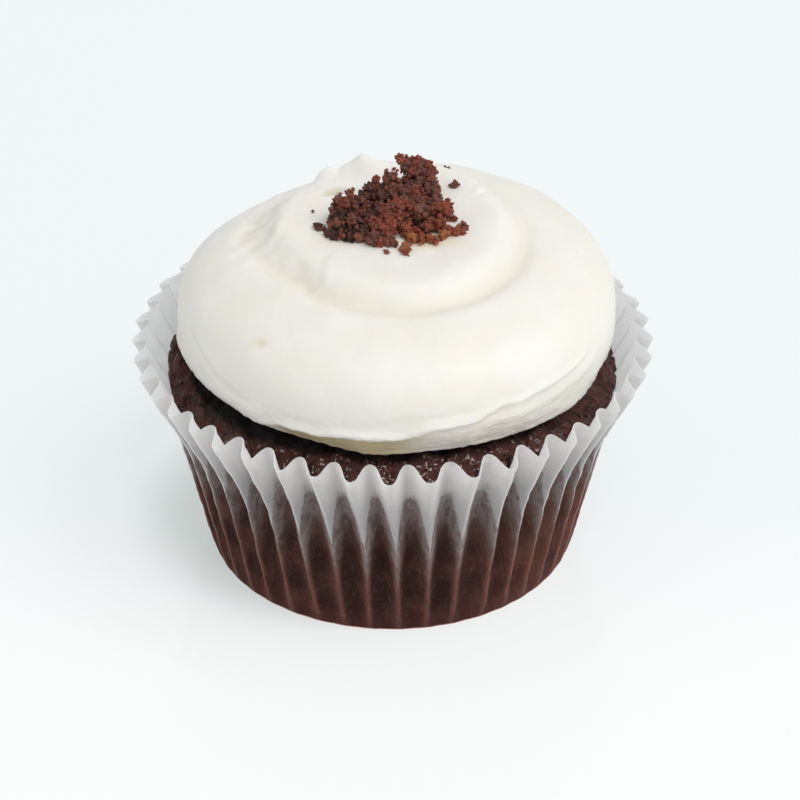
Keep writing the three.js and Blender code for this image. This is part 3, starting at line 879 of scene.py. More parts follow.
@dataclass
class Cake:
    """The cake: it fills the case, leaves the outer creases higher up, and has a craggy moist rim."""

    paper: PaperCase
    columns_per_flute: int = 20
    floor: float = 0.5
    fill_height: float = 15.5
    fill_radius: float = 28.5
    edge_radius: float = 30.3
    edge_height: float = 25.5
    dome_height: float = 33.0
    dome_power: float = 2.3
    paper_gap: float = 0.3
    hidden_radius: float = 21.5
    row_spacing: float = 0.2
    shadow_turns: tuple[float, ...] = (
        170.0, 185.0, 200.0, 215.0, 228.0, 242.0, 256.0, 270.0, 290.0, 310.0, 330.0, 348.0)
    shadow_radii: tuple[float, ...] = (26.8, 27.6, 28.1, 28.0, 27.5, 26.9, 26.4, 26.1, 26.3, 26.8, 27.2, 26.8)
    rounding_drops: tuple[float, ...] = (0.0, 0.05, 0.16, 0.34, 0.56)
    low_rows: tuple[float, ...] = (3.0, 7.0, 11.0, 14.0, 16.5, 18.5, 20.0)
    high_rows: tuple[float, float] = (20.6, 0.35)
    hidden_rows: tuple[float, ...] = (18.0, 9.0)
    rough_sides: float = 0.06
    rough_edge: float = 0.25

    def side_radius(self, share: Points, heights: Points) -> Points:
        """Return the radius of the side, by height and column."""
        against = self.paper.radius_at(share, heights) - self.paper.thickness - self.paper_gap
        rise = np.maximum(0.0, (heights - self.fill_height) / (self.edge_height - self.fill_height))
        free = self.fill_radius + (self.edge_radius - self.fill_radius) * rise
        return np.minimum(against, free[:, None])

    def dome(self, radius: Points) -> Points:
        """Return the height of the top at a radius."""
        fall = (radius / (self.edge_radius + 0.3)) ** self.dome_power
        return self.dome_height + (self.edge_height + 1.0 - self.dome_height) * fall

    def table(self, share: Points) -> tuple[Points, Points]:
        """Lay out the rows from the bottom up the side, round the edge and inwards under the frosting.

        Args:
            share: The share of the way round, by column.

        Returns:
            The corners' places by row and column, and how rough the surface is there, from 0 to 1.
        """
        columns = len(share)
        start, step = self.high_rows
        side_heights = np.concatenate([[self.floor], self.low_rows, np.arange(start, self.edge_height, step)])
        side = self.side_radius(share, side_heights)
        edge = self.side_radius(share, np.array([self.edge_height]))[0]
        rounding = [edge - drop for drop in self.rounding_drops]
        rounding_heights = [self.edge_height + 0.15 + 0.55 * (1.0 - (1.0 - i / 4.0) ** 2) for i in range(5)]
        inwards = np.arange(self.edge_radius - 0.8, self.hidden_radius, -self.row_spacing)
        inner = [np.minimum(edge - 0.6, radius) for radius in inwards]
        inner += [np.full(columns, radius) for radius in self.hidden_rows]
        inner_heights = [self.dome(radius) for radius in inner]
        flat = [np.full(columns, height) for height in side_heights]
        radii = np.vstack([side, rounding, inner])
        heights = np.vstack([flat, [np.full(columns, h) for h in rounding_heights], inner_heights])
        bottom = np.array([side[0] * 0.5, side[0] * 0.9])
        radii = np.vstack([bottom, radii])
        heights = np.vstack([np.full((2, columns), self.floor), heights])
        rough = np.vstack([np.zeros_like(bottom), np.full_like(side, self.rough_sides),
                           np.full_like(rounding, self.rough_edge), smoothstep(22.5, 24.5, np.array(inner))])
        turn = np.radians(self.paper.fold_turn(share, heights))
        # The edge stands a little higher at the left.
        higher = 1.5 * bump_at(np.degrees(turn), 174.0, 20.0)
        heights = heights + higher * smoothstep(21.0, 25.5, heights)
        return np.stack([radii * np.cos(turn), radii * np.sin(turn), heights], axis=-1), rough

    def build(self) -> bpy.types.Object:
        """Model the cake and return the finished piece."""
        columns = self.paper.flutes * self.columns_per_flute
        table, rough = self.table(self.paper.share(columns))
        sheet = RowSheet("sponge_cake", columns, len(table), closed_above=True)
        places = sheet.spread(table, (0.0, 0.0, self.floor), (0.0, 0.0, self.dome_height))
        move_corners(sheet.piece.data, places)
        face_outwards(sheet.piece)
        weigh(sheet.piece, "rim", sheet.spread(rough, 0.0, 0.0))
        self.crumble(sheet.piece)
        shade(sheet.piece, 70.0)
        return finish_piece(sheet.piece, SpongeFinish().make(), "cake")

    def crumble(self, piece: bpy.types.Object) -> None:
        """Roughen the rim that shows, leave what the paper and the frosting cover, and mark the painted
        shadow under the frosting's edge.
        """
        place = corners_of(piece.data)
        radius = np.hypot(place[:, 0], place[:, 1])
        roughen(piece, "CLOUDS", 3.4, 1.6, "rim")
        roughen(piece, "VORONOI", 1.7, 0.9, "rim")
        roughen(piece, "CLOUDS", 0.6, 0.3, "rim")
        piece.vertex_groups.clear()
        reach = around(np.degrees(np.arctan2(place[:, 1], place[:, 0])), self.shadow_turns, self.shadow_radii)
        # Painted shadow: the band under the frosting's edge, inside the shadow's radius in each direction.
        covered = (1.0 - smoothstep(-0.9, 0.5, radius - reach)) * smoothstep(23.0, 25.0, place[:, 2])
        mark_corners(piece.data, "covered", covered)


@dataclass(frozen=True)
class Mound:
    """A soft rise or dent in the frosting, longer one way than the other."""

    x: float
    y: float
    length: float
    width: float
    heading: float
    height: float
    squareness: float = 1.0

    def at(self, x: Points, y: Points) -> Points:
        """Return how much it raises the frosting at some places."""
        turn = np.radians(self.heading)
        ahead = (x - self.x) * np.cos(turn) + (y - self.y) * np.sin(turn)
        aside = -(x - self.x) * np.sin(turn) + (y - self.y) * np.cos(turn)
        away = (ahead / self.length) ** 2 + (aside / self.width) ** 2
        return self.height * np.exp(-(away**self.squareness))


@dataclass(frozen=True)
class Crease:
    """A crease that the spatula left: a fine groove along a line, with one side standing higher."""

    line: tuple[tuple[float, float], ...]
    width: float
    depth: float
    step: float = 0.0
    step_reach: float = 1.6

    def groove(self, x: Points, y: Points) -> Points:
        """Return how deep in the groove some places are, from 0 to 1."""
        nearest, _, fade = self.beside(x, y)
        return fade * np.exp(-((nearest / self.width) ** 2))

    def at(self, x: Points, y: Points) -> Points:
        """Return how much it raises the frosting at some places."""
        nearest, side, fade = self.beside(x, y)
        groove = -self.depth * np.exp(-((nearest / self.width) ** 2))
        ledge = self.step * np.tanh(side / self.width) * np.exp(-((nearest / self.step_reach) ** 2))
        return fade * (groove + ledge)

    def beside(self, x: Points, y: Points) -> tuple[Points, Points, Points]:
        """Measure some places against the line.

        Args:
            x: The places' x.
            y: The places' y.

        Returns:
            How far they are from the line, how far to its left, and how much of the crease is there.
        """
        nearest = np.full(np.shape(x), np.inf)
        side = np.zeros(np.shape(x))
        fade = np.ones(np.shape(x))
        count = len(self.line) - 1
        for i, ((ax, ay), (bx, by)) in enumerate(zip(self.line, self.line[1:])):
            run = np.hypot(bx - ax, by - ay)
            ux, uy = (bx - ax) / run, (by - ay) / run
            part = np.clip(((x - ax) * ux + (y - ay) * uy) / run, 0.0, 1.0)
            gap_x, gap_y = x - ax - part * run * ux, y - ay - part * run * uy
            gap = np.hypot(gap_x, gap_y)
            closer = gap < nearest
            nearest = np.where(closer, gap, nearest)
            side = np.where(closer, ux * gap_y - uy * gap_x, side)
            fade = np.where(closer, np.sin(np.pi * (0.08 + 0.84 * (i + part) / count)), fade)
        return nearest, side, fade


@dataclass(frozen=True)
class Stroke:
    """One pass of the spatula along the lip: its lower line by direction, and how far it stands out."""

    turns: tuple[float, ...]
    heights: tuple[float, ...]
    proud: float
    undercut: float
    width: float = 0.6
    fade: float = 6.0

    def lowest(self, turn: Points) -> Points:
        """Return the height of its lower line at some directions."""
        return np.interp(turn, self.turns, self.heights)

    def out(self, turn: Points, height: Points) -> Points:
        """Return how far the side stands out because of the stroke."""
        line = self.lowest(turn)
        there = smoothstep(self.turns[0] - self.fade, self.turns[0] + self.fade, turn)
        there = there * (1.0 - smoothstep(self.turns[-1] - self.fade, self.turns[-1] + self.fade * 0.4, turn))
        above = height - line
        bead = self.proud * np.exp(-((above - self.width) / self.width) ** 2)
        under = self.undercut * (1.0 - smoothstep(-0.14, 0.16, above))
        return there * (bead - under)


@dataclass
class Frosting:
    """The frosting: a broad disc with a round shoulder, a swirled mound on it and a pushed-out lip."""

    columns: int = 440
    mound_rows: int = 84
    shoulder_rows: int = 66
    side_rows: int = 36
    axis: tuple[float, float] = (0.6, 0.2)
    widest: float = 29.3
    widest_height: float = 35.5
    dome_rise: float = 11.0
    dome_power: float = 3.0
    edge_turns: tuple[float, ...] = (20, 176, 185, 195, 201, 208, 214, 224, 233, 239, 246, 252, 258, 262, 268,
                                     273.5, 281.5, 290, 304, 311, 322, 334, 341, 354)
    edge_radii: tuple[float, ...] = (28.6, 29.3, 28.8, 28.45, 28.1, 28.0, 27.7, 27.6, 27.85, 27.6, 27.8, 28.1,
                                     28.5, 28.9, 28.8, 28.4, 28.25, 28.5, 28.45, 28.7, 29.0, 28.6, 28.4, 28.6)
    edge_height: float = 31.0
    undercut_power: float = 2.4
    contact_radius: float = 23.8
    contact_height: float = 28.95
    centre: tuple[float, float] = (0.3, 2.6)
    groove_turns: tuple[float, ...] = (10, 18, 60, 90, 120, 144, 157, 170, 184, 198, 211, 218, 226, 234, 249,
                                       265, 281, 298, 313, 329, 350)
    groove_radii: tuple[float, ...] = (17.5, 17.3, 17.8, 18.2, 19.0, 20.6, 20.2, 19.4, 18.6, 18.1, 17.9, 17.4,
                                       17.3, 18.0, 18.4, 18.6, 19.0, 18.8, 18.4, 18.2, 17.6)
    groove_depths: tuple[float, ...] = (0.45, 0.3, 0.1, 0.1, 0.3, 0.7, 0.8, 0.75, 0.7, 0.7, 0.85, 0.95, 0.95,
                                        1.0, 1.1, 1.15, 1.15, 1.1, 1.0, 0.9, 0.65)
    groove_widths: tuple[float, ...] = (1.3, 1.3, 1.8, 2.0, 2.4, 2.9, 3.1, 2.9, 2.7, 2.5, 2.2, 1.8, 1.5, 1.5,
                                        1.7, 1.8, 1.8, 1.7, 1.6, 1.5, 1.4)
    front_rise: float = 0.8
    back_rise: float = 2.6
    back_power: float = 1.5
    crest: float = 0.78
    crest_width: float = 0.2
    dip_share: float = 0.55
    lip_top: Band = (38.0, 40.0)
    lip_roughness: float = 0.22
    top_from: float = 40.0
    side_up_to: float = 37.0
    dragged_heights: Band = (33.5, 37.0)
    dragged_turns: Band = (150.0, 190.0)
    wavy: float = 0.1
    finely_wavy: float = 0.035
    seed: int = 21

    def fold_line(self) -> Crease:
        """Return the deep fold behind the crumbs, under the peak."""
        line = ((-10.0, 10.6), (-9.0, 11.0), (-7.8, 11.3), (-6.4, 11.4), (-4.8, 11.0))
        return Crease(line, 0.38, 0.5, 0.4, 1.4)

    def features(self) -> list[Mound | Crease]:
        """Return the small forms on top: the peak, the curl, folds, creases, dents and a fleck."""
        return [
            Mound(-3.95, 15.6, 1.2, 1.5, 0.0, 1.35),
            Mound(-5.2, 15.5, 2.6, 1.7, 0.0, 1.05),
            Mound(-2.2, 15.9, 1.7, 1.4, 0.0, 0.5),
            Mound(-9.1, 14.9, 1.35, 0.9, 12.0, 1.45, 1.5),
            Mound(-6.9, 15.3, 1.3, 1.2, 0.0, 0.15),
            Mound(-9.9, -8.0, 1.7, 1.1, 100.0, 0.15),
            Mound(-3.8, -25.2, 1.4, 1.0, 0.0, -0.09),
            Mound(4.3, -26.1, 1.6, 1.0, 10.0, -0.08),
            Mound(9.8, -21.8, 1.4, 0.9, 40.0, -0.08),
            Mound(-18.1, -18.9, 1.2, 0.45, -25.0, 0.16),
            Mound(-16.9, -19.9, 0.55, 0.45, -40.0, -0.28),
            Mound(-20.6, 8.0, 3.4, 1.2, 75.0, 0.35),
            Mound(-15.4, 9.4, 2.6, 0.9, 60.0, -0.15),
            Mound(-14.9, 3.4, 2.8, 0.8, 75.0, 0.25),
            self.fold_line(),
            Crease(((10.0, 9.2), (11.3, 8.7), (12.4, 9.2), (12.7, 10.5)), 0.4, 0.28, 0.12),
            Crease(((-7.6, -4.4), (-9.0, -6.6), (-9.4, -9.4), (-9.3, -12.0)), 0.75, 0.12, 0.22, 1.5),
            Mound(-12.9, -6.4, 1.9, 1.4, 120.0, -0.3),
            Mound(-11.3, -10.4, 1.7, 0.9, 125.0, -0.25),
            Mound(-16.3, 7.5, 4.0, 0.8, 95.0, -0.2),
            Mound(-15.3, -2.6, 2.6, 0.7, 95.0, -0.2),
        ]

    def strokes(self) -> list[Stroke]:
        """Return the strokes of the lip, from the lower left to the upper right."""
        return [
            Stroke((230, 235, 239, 245, 250, 256, 266, 271, 276, 279, 284, 289, 292, 295, 298),
                   (31.4, 31.9, 32.8, 32.9, 32.7, 33.2, 33.2, 33.3, 33.9, 34.6, 34.9, 35.0, 35.3, 35.9, 36.6),
                   0.44, 0.22, 0.56, 2.5),
            Stroke((297, 299, 303, 306, 310), (36.5, 36.45, 36.15, 36.5, 37.0), 0.3, 0.1, 0.5, 1.6),
            Stroke((309, 313, 317, 321, 325, 329), (36.6, 36.7, 36.8, 37.0, 37.25, 37.6),
                   0.3, 0.1, 0.52, 2.5),
            Stroke((290, 305, 320, 335), (33.4, 33.8, 34.4, 35.4), 0.22, 0.05, 0.9, 6.0),
            Stroke((183, 198, 214, 226, 234), (30.8, 30.8, 30.9, 31.0, 31.4), 0.5, 0.0, 1.6, 4.0),
            Stroke((200, 206, 211, 216, 222, 230), (38.2, 37.3, 36.4, 35.1, 34.5, 34.2),
                   -0.42, 0.0, 0.5, 3.0),
            Stroke((234, 246, 258, 272, 290), (34.2, 33.9, 34.2, 35.4, 36.0), -0.12, 0.0, 0.7, 4.0),
        ]

    def top(self, x: Points, y: Points) -> Points:
        """Return the height of the frosting's upper face at some places."""
        x, y = np.asarray(x, dtype=float), np.asarray(y, dtype=float)
        off_x, off_y = x - self.axis[0], y - self.axis[1]
        turn = np.degrees(np.arctan2(off_y, off_x))
        across = np.minimum(1.0, np.hypot(off_x, off_y) / self.widest)
        power = self.dome_power - bump_at(turn, 132.0, 42.0)
        height = self.widest_height + self.dome_rise * (1.0 - across**power) ** (1.0 / power)
        return height + self.swirl(x, y) + sum(form.at(x, y) for form in self.features())

    def from_centre(self, x: Points, y: Points) -> tuple[Points, Points, Points, Points]:
        """Measure some places from the middle of the mound.

        Args:
            x: The places' x.
            y: The places' y.

        Returns:
            Their directions, how far out they are, and the groove's radius and depth in those directions.
        """
        off_x, off_y = x - self.centre[0], y - self.centre[1]
        turn = np.degrees(np.arctan2(off_y, off_x))
        groove = around(turn, self.groove_turns, self.groove_radii)
        return turn, np.hypot(off_x, off_y), groove, around(turn, self.groove_turns, self.groove_depths)

    def swirl(self, x: Points, y: Points) -> Points:
        """Return how much the swirled mound raises the disc at some places."""
        turn, away, groove, depth = self.from_centre(x, y)
        left = bump_at(turn, 175.0, 50.0)
        groove = groove + 0.3 * left * Unevenness(self.seed, 3.2).at(x, y, 0.0)
        across = away / groove
        backwards = ((1.0 + np.sin(np.radians(turn))) / 2.0) ** self.back_power
        climb = (self.back_rise - self.front_rise) * backwards - 0.45 * bump_at(turn, 200.0, 32.0)
        rise = self.front_rise + np.minimum(1.0, across / self.crest) * climb
        ring = np.exp(-(((across - self.crest) / self.crest_width) ** 2))
        ring = self.dip_share + (1.0 - self.dip_share) * ring
        plateau = 1.0 - smoothstep(self.crest, 1.0, across)
        width = around(turn, self.groove_turns, self.groove_widths)
        depth = depth * (1.0 + 0.15 * left * Unevenness(self.seed + 1, 2.2).at(x, y, 0.0))
        return rise * ring * plateau - depth * np.exp(-(((away - groove) / width) ** 2))

    def upper_rows(self) -> Points:
        """Return the places of the rows on top, from the middle out to the widest part."""
        turn = np.radians(np.arange(self.columns) * 360.0 / self.columns)
        radius = around(np.degrees(turn), self.groove_turns, self.groove_radii)
        middle = np.array(self.centre)
        heading = np.stack([np.cos(turn), np.sin(turn)], axis=-1)
        groove = middle + radius[:, None] * heading
        shoulder = np.array(self.axis) + self.widest * heading
        mound = [middle + (groove - middle) * part for part in np.linspace(0.02, 1.0, self.mound_rows)]
        across = np.linspace(0.62, 1.0, 400)
        climb = self.dome_rise * (1.0 - across**self.dome_power) ** (1.0 / self.dome_power)
        length = np.concatenate([[0.0], np.cumsum(np.hypot(np.diff(across) * self.widest, np.diff(climb)))])
        parts = np.interp(np.linspace(0.0, length[-1], self.shoulder_rows + 1)[1:], length,
                          np.linspace(0.0, 1.0, 400))
        disc = [groove + (shoulder - groove) * part for part in parts]
        flat = np.array(mound + disc)
        return np.concatenate([flat, self.top(flat[..., 0], flat[..., 1])[..., None]], axis=-1)

    def lower_rows(self) -> Points:
        """Return the places of the rows on the side and underneath, from the widest part inwards."""
        turn_degrees = np.arange(self.columns) * 360.0 / self.columns
        turn = np.radians(turn_degrees)
        ragged = Unevenness(self.seed + 2, 1.1).at(29.0 * np.cos(turn), 29.0 * np.sin(turn), 0.0)
        coarse = Unevenness(self.seed + 3, 5.0).at(29.0 * np.cos(turn), 29.0 * np.sin(turn), 0.0)
        edge = around(turn_degrees, self.edge_turns, self.edge_radii) + 0.13 * ragged + 0.06 * coarse
        bottom = self.edge_height + 0.06 * coarse + 0.11 * ragged
        rows = []
        for part in np.linspace(0.0, 1.0, self.side_rows + 1)[1:]:
            height = self.widest_height + (bottom - self.widest_height) * part
            radius = self.widest + (edge - self.widest) * part**self.undercut_power
            rows.append((radius, height))
        for inwards, drop in ((0.12, 0.2), (0.4, 0.36), (0.9, 0.46), (1.8, 0.6)):
            rows.append((edge - inwards, bottom - drop))
        rows.append((edge * 0.5 + self.contact_radius * 0.5, bottom * 0.35 + self.contact_height * 0.65))
        rows.append((np.full(self.columns, self.contact_radius), np.full(self.columns, self.contact_height)))
        return np.array([np.stack([self.axis[0] + radius * np.cos(turn),
                                   self.axis[1] + radius * np.sin(turn),
                                   height], axis=-1) for radius, height in rows])

    def build(self) -> bpy.types.Object:
        """Model the frosting and return the finished piece."""
        upper, lower = self.upper_rows(), self.lower_rows()
        table = np.concatenate([upper, lower])
        out = self.outward(table)
        x, y, z = table[..., 0], table[..., 1], table[..., 2]
        turn = np.degrees(np.arctan2(y - self.axis[1], x - self.axis[0])) % 360.0
        near_edge = smoothstep(self.edge_height - 0.5, self.edge_height + 0.35, z)
        on_side = (1.0 - smoothstep(*self.lip_top, z)) * near_edge
        rough = 1.0 + self.lip_roughness * Unevenness(self.seed + 7, 4.5).at(x, y, z * 2.0)
        lip = sum(stroke.out(turn, z) for stroke in self.strokes()) * on_side * rough
        wavy = self.wavy * Unevenness(self.seed + 4, 9.0).at(x, y, z)
        wavy = wavy + self.finely_wavy * Unevenness(self.seed + 5, 3.0).at(x, y, z)
        dragged = (1.0 - smoothstep(*self.dragged_heights, z)) * smoothstep(*self.dragged_turns, turn)
        fine = (0.012 + 0.045 * dragged) * Unevenness(self.seed + 6, 0.9).at(x, y, z * 1.5)
        shown = smoothstep(30.0, 31.2, z)
        table = table + out * (lip + (wavy + fine) * shown)[..., None]
        sheet = RowSheet("frosting_swirl", self.columns, len(table), closed_above=True)
        first = (*self.centre, float(self.top(*self.centre)))
        places = sheet.spread(table, first, (*self.axis, self.contact_height + 2.0))
        move_corners(sheet.piece.data, places)
        face_outwards(sheet.piece)
        self.mark(sheet, table, turn)
        shade(sheet.piece, 65.0)
        return finish_piece(sheet.piece, CreamFinish().make(), "frosting")

    def outward(self, table: Points) -> Points:
        """Return the outward direction at each place of a table of rows and columns."""
        along = np.roll(table, -1, axis=1) - np.roll(table, 1, axis=1)
        down = np.gradient(table, axis=0)
        normal = np.cross(down, along)
        length = np.linalg.norm(normal, axis=-1, keepdims=True)
        return normal / np.maximum(length, 1e-9)

    def mark(self, sheet: RowSheet, table: Points, turn: Points) -> None:
        """Mark the painted shade in the groove, under the lip and in the fold line, the fleck, and the stain
        beside the crumbs.
        """
        x, y, z = table[..., 0], table[..., 1], table[..., 2]
        _, away, groove, depth = self.from_centre(x, y)
        # Painted shade in the groove round the mound.
        in_groove = 0.3 * depth * np.exp(-(((away - groove) / 1.5) ** 2))
        bead = self.strokes()[0]
        below = bead.lowest(turn) - z
        front = smoothstep(233.0, 241.0, turn) * (1.0 - 0.9 * smoothstep(266.0, 281.0, turn))
        front = front * (1.0 - smoothstep(296.0, 330.0, turn))
        on_side = z < self.side_up_to
        # A yellower tone with painted shade under the front of the lip.
        butter = 0.8 * front * smoothstep(-0.1, 0.35, below) * on_side * (z > 30.0)
        lower = smoothstep(226.0, 240.0, turn) * (1.0 - smoothstep(325.0, 345.0, turn))
        # Painted shade on the band under the lip.
        band = 0.08 * lower * smoothstep(-0.2, 0.5, below) * on_side
        fleck = 0.7 * Mound(-17.1, -19.7, 0.9, 0.6, -35.0, 1.0).at(x, y) * (z > 38.0)
        hollow = np.clip(np.maximum(np.maximum(in_groove, band), fleck), 0.0, 1.0)
        on_top = z > self.top_from
        beside = Mound(5.4, -2.2, 4.2, 1.7, 5.0, 0.42).at(x, y)
        beside = beside + Mound(-7.0, -1.8, 2.6, 1.2, 0.0, 0.18).at(x, y)
        # Painted shade in the fold line behind the crumbs.
        butter = np.maximum(butter, 0.42 * self.fold_line().groove(x, y) * on_top)
        for name, values in (("hollow", hollow), ("butter", butter), ("stain", beside * on_top)):
            mark_corners(sheet.piece.data, name, sheet.spread(values, 0.0))


@dataclass(frozen=True)
class CrumbSeat:
    """Where one crumb lies: its place, how far its middle is over the frosting, and its radius."""

    x: float
    y: float
    lift: float
    radius: float


@dataclass
class CrumbShapes:
    """A few rough crumbs, each a cluster of granules melted together, that the heap is copied from."""

    count: int = 9
    granules: int = 30
    voxel: float = 0.055
    faces: int = 900
    core: float = 0.56
    flattening: tuple[float, float, float] = (1.0, 0.8, 0.7)
    granule_radii: Band = (0.1, 0.27)
    seed: int = 3

    def build(self) -> list[bpy.types.Mesh]:
        """Model the crumbs, each with a radius of about 1.

        Returns:
            Their meshes, which no object in the scene keeps.
        """
        draw = np.random.default_rng(self.seed)
        shapes = []
        for i in range(self.count):
            piece = self.cluster(draw, i)
            apply_modifier(piece, "REMESH", mode="VOXEL", voxel_size=self.voxel)
            roughen(piece, "VORONOI", 0.4, 0.16)
            roughen(piece, "CLOUDS", 0.16, 0.14)
            faces = sum(len(face.vertices) - 2 for face in piece.data.polygons)
            apply_modifier(piece, "DECIMATE", ratio=min(1.0, self.faces / faces))
            shade(piece, 50.0)
            shapes.append(piece.data.copy())
            bpy.data.objects.remove(piece)
        return shapes

    def cluster(self, draw: np.random.Generator, index: int) -> bpy.types.Object:
        """Put granules of many sizes together round a middle."""
        select_only(None)
        bpy.ops.mesh.primitive_ico_sphere_add(subdivisions=2, radius=self.core)
        piece = bpy.context.object
        piece.name = f"crumb_shape_{index}"
        bpy.ops.object.mode_set(mode="EDIT")
        for _ in range(self.granules):
            heading = draw.normal(size=3)
            heading /= np.linalg.norm(heading)
            away = draw.uniform(0.5, 0.95)
            place = tuple(heading * away * self.flattening)
            radius = draw.uniform(*self.granule_radii)
            bpy.ops.mesh.primitive_ico_sphere_add(subdivisions=2, radius=radius, location=place)
        bpy.ops.object.mode_set(mode="OBJECT")
        return piece


def copied_together(name: str, copies: list[tuple[bpy.types.Mesh, Matrix, float]]) -> bpy.types.Object:
    """Copy crumbs to their places and join them.

    Args:
        name: The piece's name.
        copies: For each copy its shape, its place and its tint.

    Returns:
        The joined piece.
    """
    objects = []
    for shape, place, tint in copies:
        mesh = shape.copy()
        mesh.transform(place)
        mark_corners(mesh, "tint", np.full(len(mesh.vertices), tint))
        piece = bpy.data.objects.new(name, mesh)
        bpy.context.scene.collection.objects.link(piece)
        objects.append(piece)
    select_only(objects[0])
    for piece in objects:
        piece.select_set(True)
    bpy.ops.object.join()
    objects[0].name = objects[0].data.name = name
    return objects[0]


@dataclass
class CrumbHeap:
    """The heap of crumbs in the dip of the swirl.

    A lump is its x, y, reach, height and number of crumbs. A seat is one crumb of the heap's outline.
    """

    frosting: Frosting
    shapes: list[bpy.types.Mesh]
    material: bpy.types.Material
    lumps: tuple[tuple[float, float, float, float, int], ...] = (
        (-5.8, 2.2, 3.0, 3.0, 14), (-1.4, 0.9, 3.7, 2.6, 20), (-1.2, 5.0, 4.2, 4.2, 26),
        (3.3, 8.6, 3.4, 4.8, 24), (3.9, 2.7, 4.4, 3.4, 32), (1.9, 2.4, 2.4, 3.2, 12),
        (2.2, 5.6, 2.6, 3.8, 10),
    )
    lump_power: float = 0.7
    seats: tuple[tuple[float, float, float, float], ...] = (
        (-8.4, -0.5, 0.30, 0.70), (-7.6, -1.1, 0.33, 0.80), (-7.8, 2.3, 0.36, 0.90), (6.8, -1.0, 0.37, 0.90),
        (5.7, -2.4, 0.26, 0.60), (5.0, -1.9, 0.37, 0.90), (3.8, -2.1, 0.39, 0.95), (2.6, -1.8, 0.42, 1.00),
        (1.8, -4.1, 0.36, 0.85), (1.8, -5.3, 0.23, 0.55), (-0.6, -3.0, 0.36, 0.90), (0.3, -3.2, 0.34, 0.80),
        (-0.7, -4.9, 0.18, 0.45), (-1.5, -3.0, 0.36, 0.90), (-2.8, -2.0, 0.42, 1.00),
        (-4.3, -1.7, 0.42, 1.00), (-5.6, -1.5, 0.39, 0.95), (-6.7, -1.0, 0.34, 0.80),
        (-6.6, 3.2, 2.63, 1.30), (-5.6, 3.6, 4.07, 0.75),
        (-7.2, 3.2, 3.54, 0.90), (-7.5, 2.6, 2.25, 0.90), (-5.3, 3.4, 2.71, 0.90), (-2.2, 6.5, 4.36, 0.60),
        (-2.3, 6.3, 3.72, 0.70), (-3.0, 6.0, 3.49, 0.90), (-3.7, 5.5, 2.83, 0.90), (-4.1, 5.0, 2.21, 0.90),
        (0.0, 7.5, 4.06, 1.10), (-0.6, 7.2, 3.58, 0.90), (1.2, 10.0, 5.15, 0.70), (1.9, 10.0, 4.66, 0.90),
        (3.1, 10.2, 4.43, 1.05), (4.1, 10.0, 4.37, 1.00), (4.9, 9.8, 4.49, 0.70), (5.1, 9.4, 3.42, 0.95),
        (5.3, 8.6, 2.92, 0.80), (1.7, 9.2, 4.32, 0.80), (2.7, 9.4, 3.70, 1.20), (3.9, 9.2, 3.65, 1.20),
        (5.1, 7.0, 2.80, 1.00), (5.7, 6.0, 2.47, 0.80), (5.7, 5.0, 1.87, 1.00), (7.4, 4.4, 1.63, 0.70),
        (6.7, 4.2, 1.25, 0.70),
    )
    granules: int = 420
    granule_radii: Band = (0.12, 0.3)
    crumb_radii: Band = (0.75, 1.3)
    seed: int = 17

    def cover(self, x: float, y: float) -> float:
        """Return how high the lumps stand over the frosting at a place."""
        heights = [height * max(0.0, 1.0 - np.hypot(x - lx, y - ly) / radius) ** self.lump_power
                   for lx, ly, radius, height, _ in self.lumps]
        return float(max(heights))

    def tint(self, x: float, y: float, chance: float) -> float:
        """Return a crumb's tint: dark at the left, red in the middle, orange at the lower right."""
        redder = 0.24 + 0.32 * float(smoothstep(-5.0, 1.0, x))
        low_right = 0.4 * float(smoothstep(0.0, 4.0, x) * (1.0 - smoothstep(-1.5, 1.5, y)))
        return redder + low_right + 0.75 * (chance - 0.5)

    def build(self) -> bpy.types.Object:
        """Model the heap and return the finished piece."""
        draw = np.random.default_rng(self.seed)
        places = [CrumbSeat(*seat) for seat in self.seats]
        for lx, ly, reach, _, number in self.lumps:
            for _ in range(number):
                turn, away = draw.uniform(0.0, 2.0 * np.pi), reach * np.sqrt(draw.uniform(0.0, 0.85))
                x, y = lx + away * np.cos(turn), ly + away * np.sin(turn)
                lift = 0.3 + self.cover(x, y) * draw.uniform(0.15, 0.85)
                places.append(CrumbSeat(x, y, lift, draw.uniform(*self.crumb_radii)))
        copies = [self.copy(draw, seat, self.shapes[draw.integers(len(self.shapes))]) for seat in places]
        grain_shape = granule_shape()
        for _ in range(self.granules):
            seat = places[draw.integers(len(places))]
            heading = draw.normal(size=3)
            heading /= np.linalg.norm(heading)
            x, y = seat.x + heading[0] * seat.radius, seat.y + heading[1] * seat.radius
            lift = max(0.05, seat.lift + heading[2] * seat.radius)
            granule = CrumbSeat(x, y, lift, draw.uniform(*self.granule_radii))
            copies.append(self.copy(draw, granule, grain_shape))
        piece = copied_together("crumb_pile", copies)
        return finish_piece(piece, self.material, "crumb_heap")

    def copy(self, draw: np.random.Generator, seat: CrumbSeat,
             shape: bpy.types.Mesh) -> tuple[bpy.types.Mesh, Matrix, float]:
        """Return one crumb's shape, its place, turned any way, and its tint."""
        height = float(self.frosting.top(seat.x, seat.y)) + seat.lift
        turned = Euler(tuple(draw.uniform(0.0, 2.0 * np.pi, 3))).to_matrix().to_4x4()
        scale = Matrix.Diagonal((*(1.25 * seat.radius * draw.uniform(0.85, 1.15, 3)), 1.0))
        place = Matrix.Translation((seat.x, seat.y, height)) @ turned @ scale
        return shape, place, self.tint(seat.x, seat.y, draw.uniform())


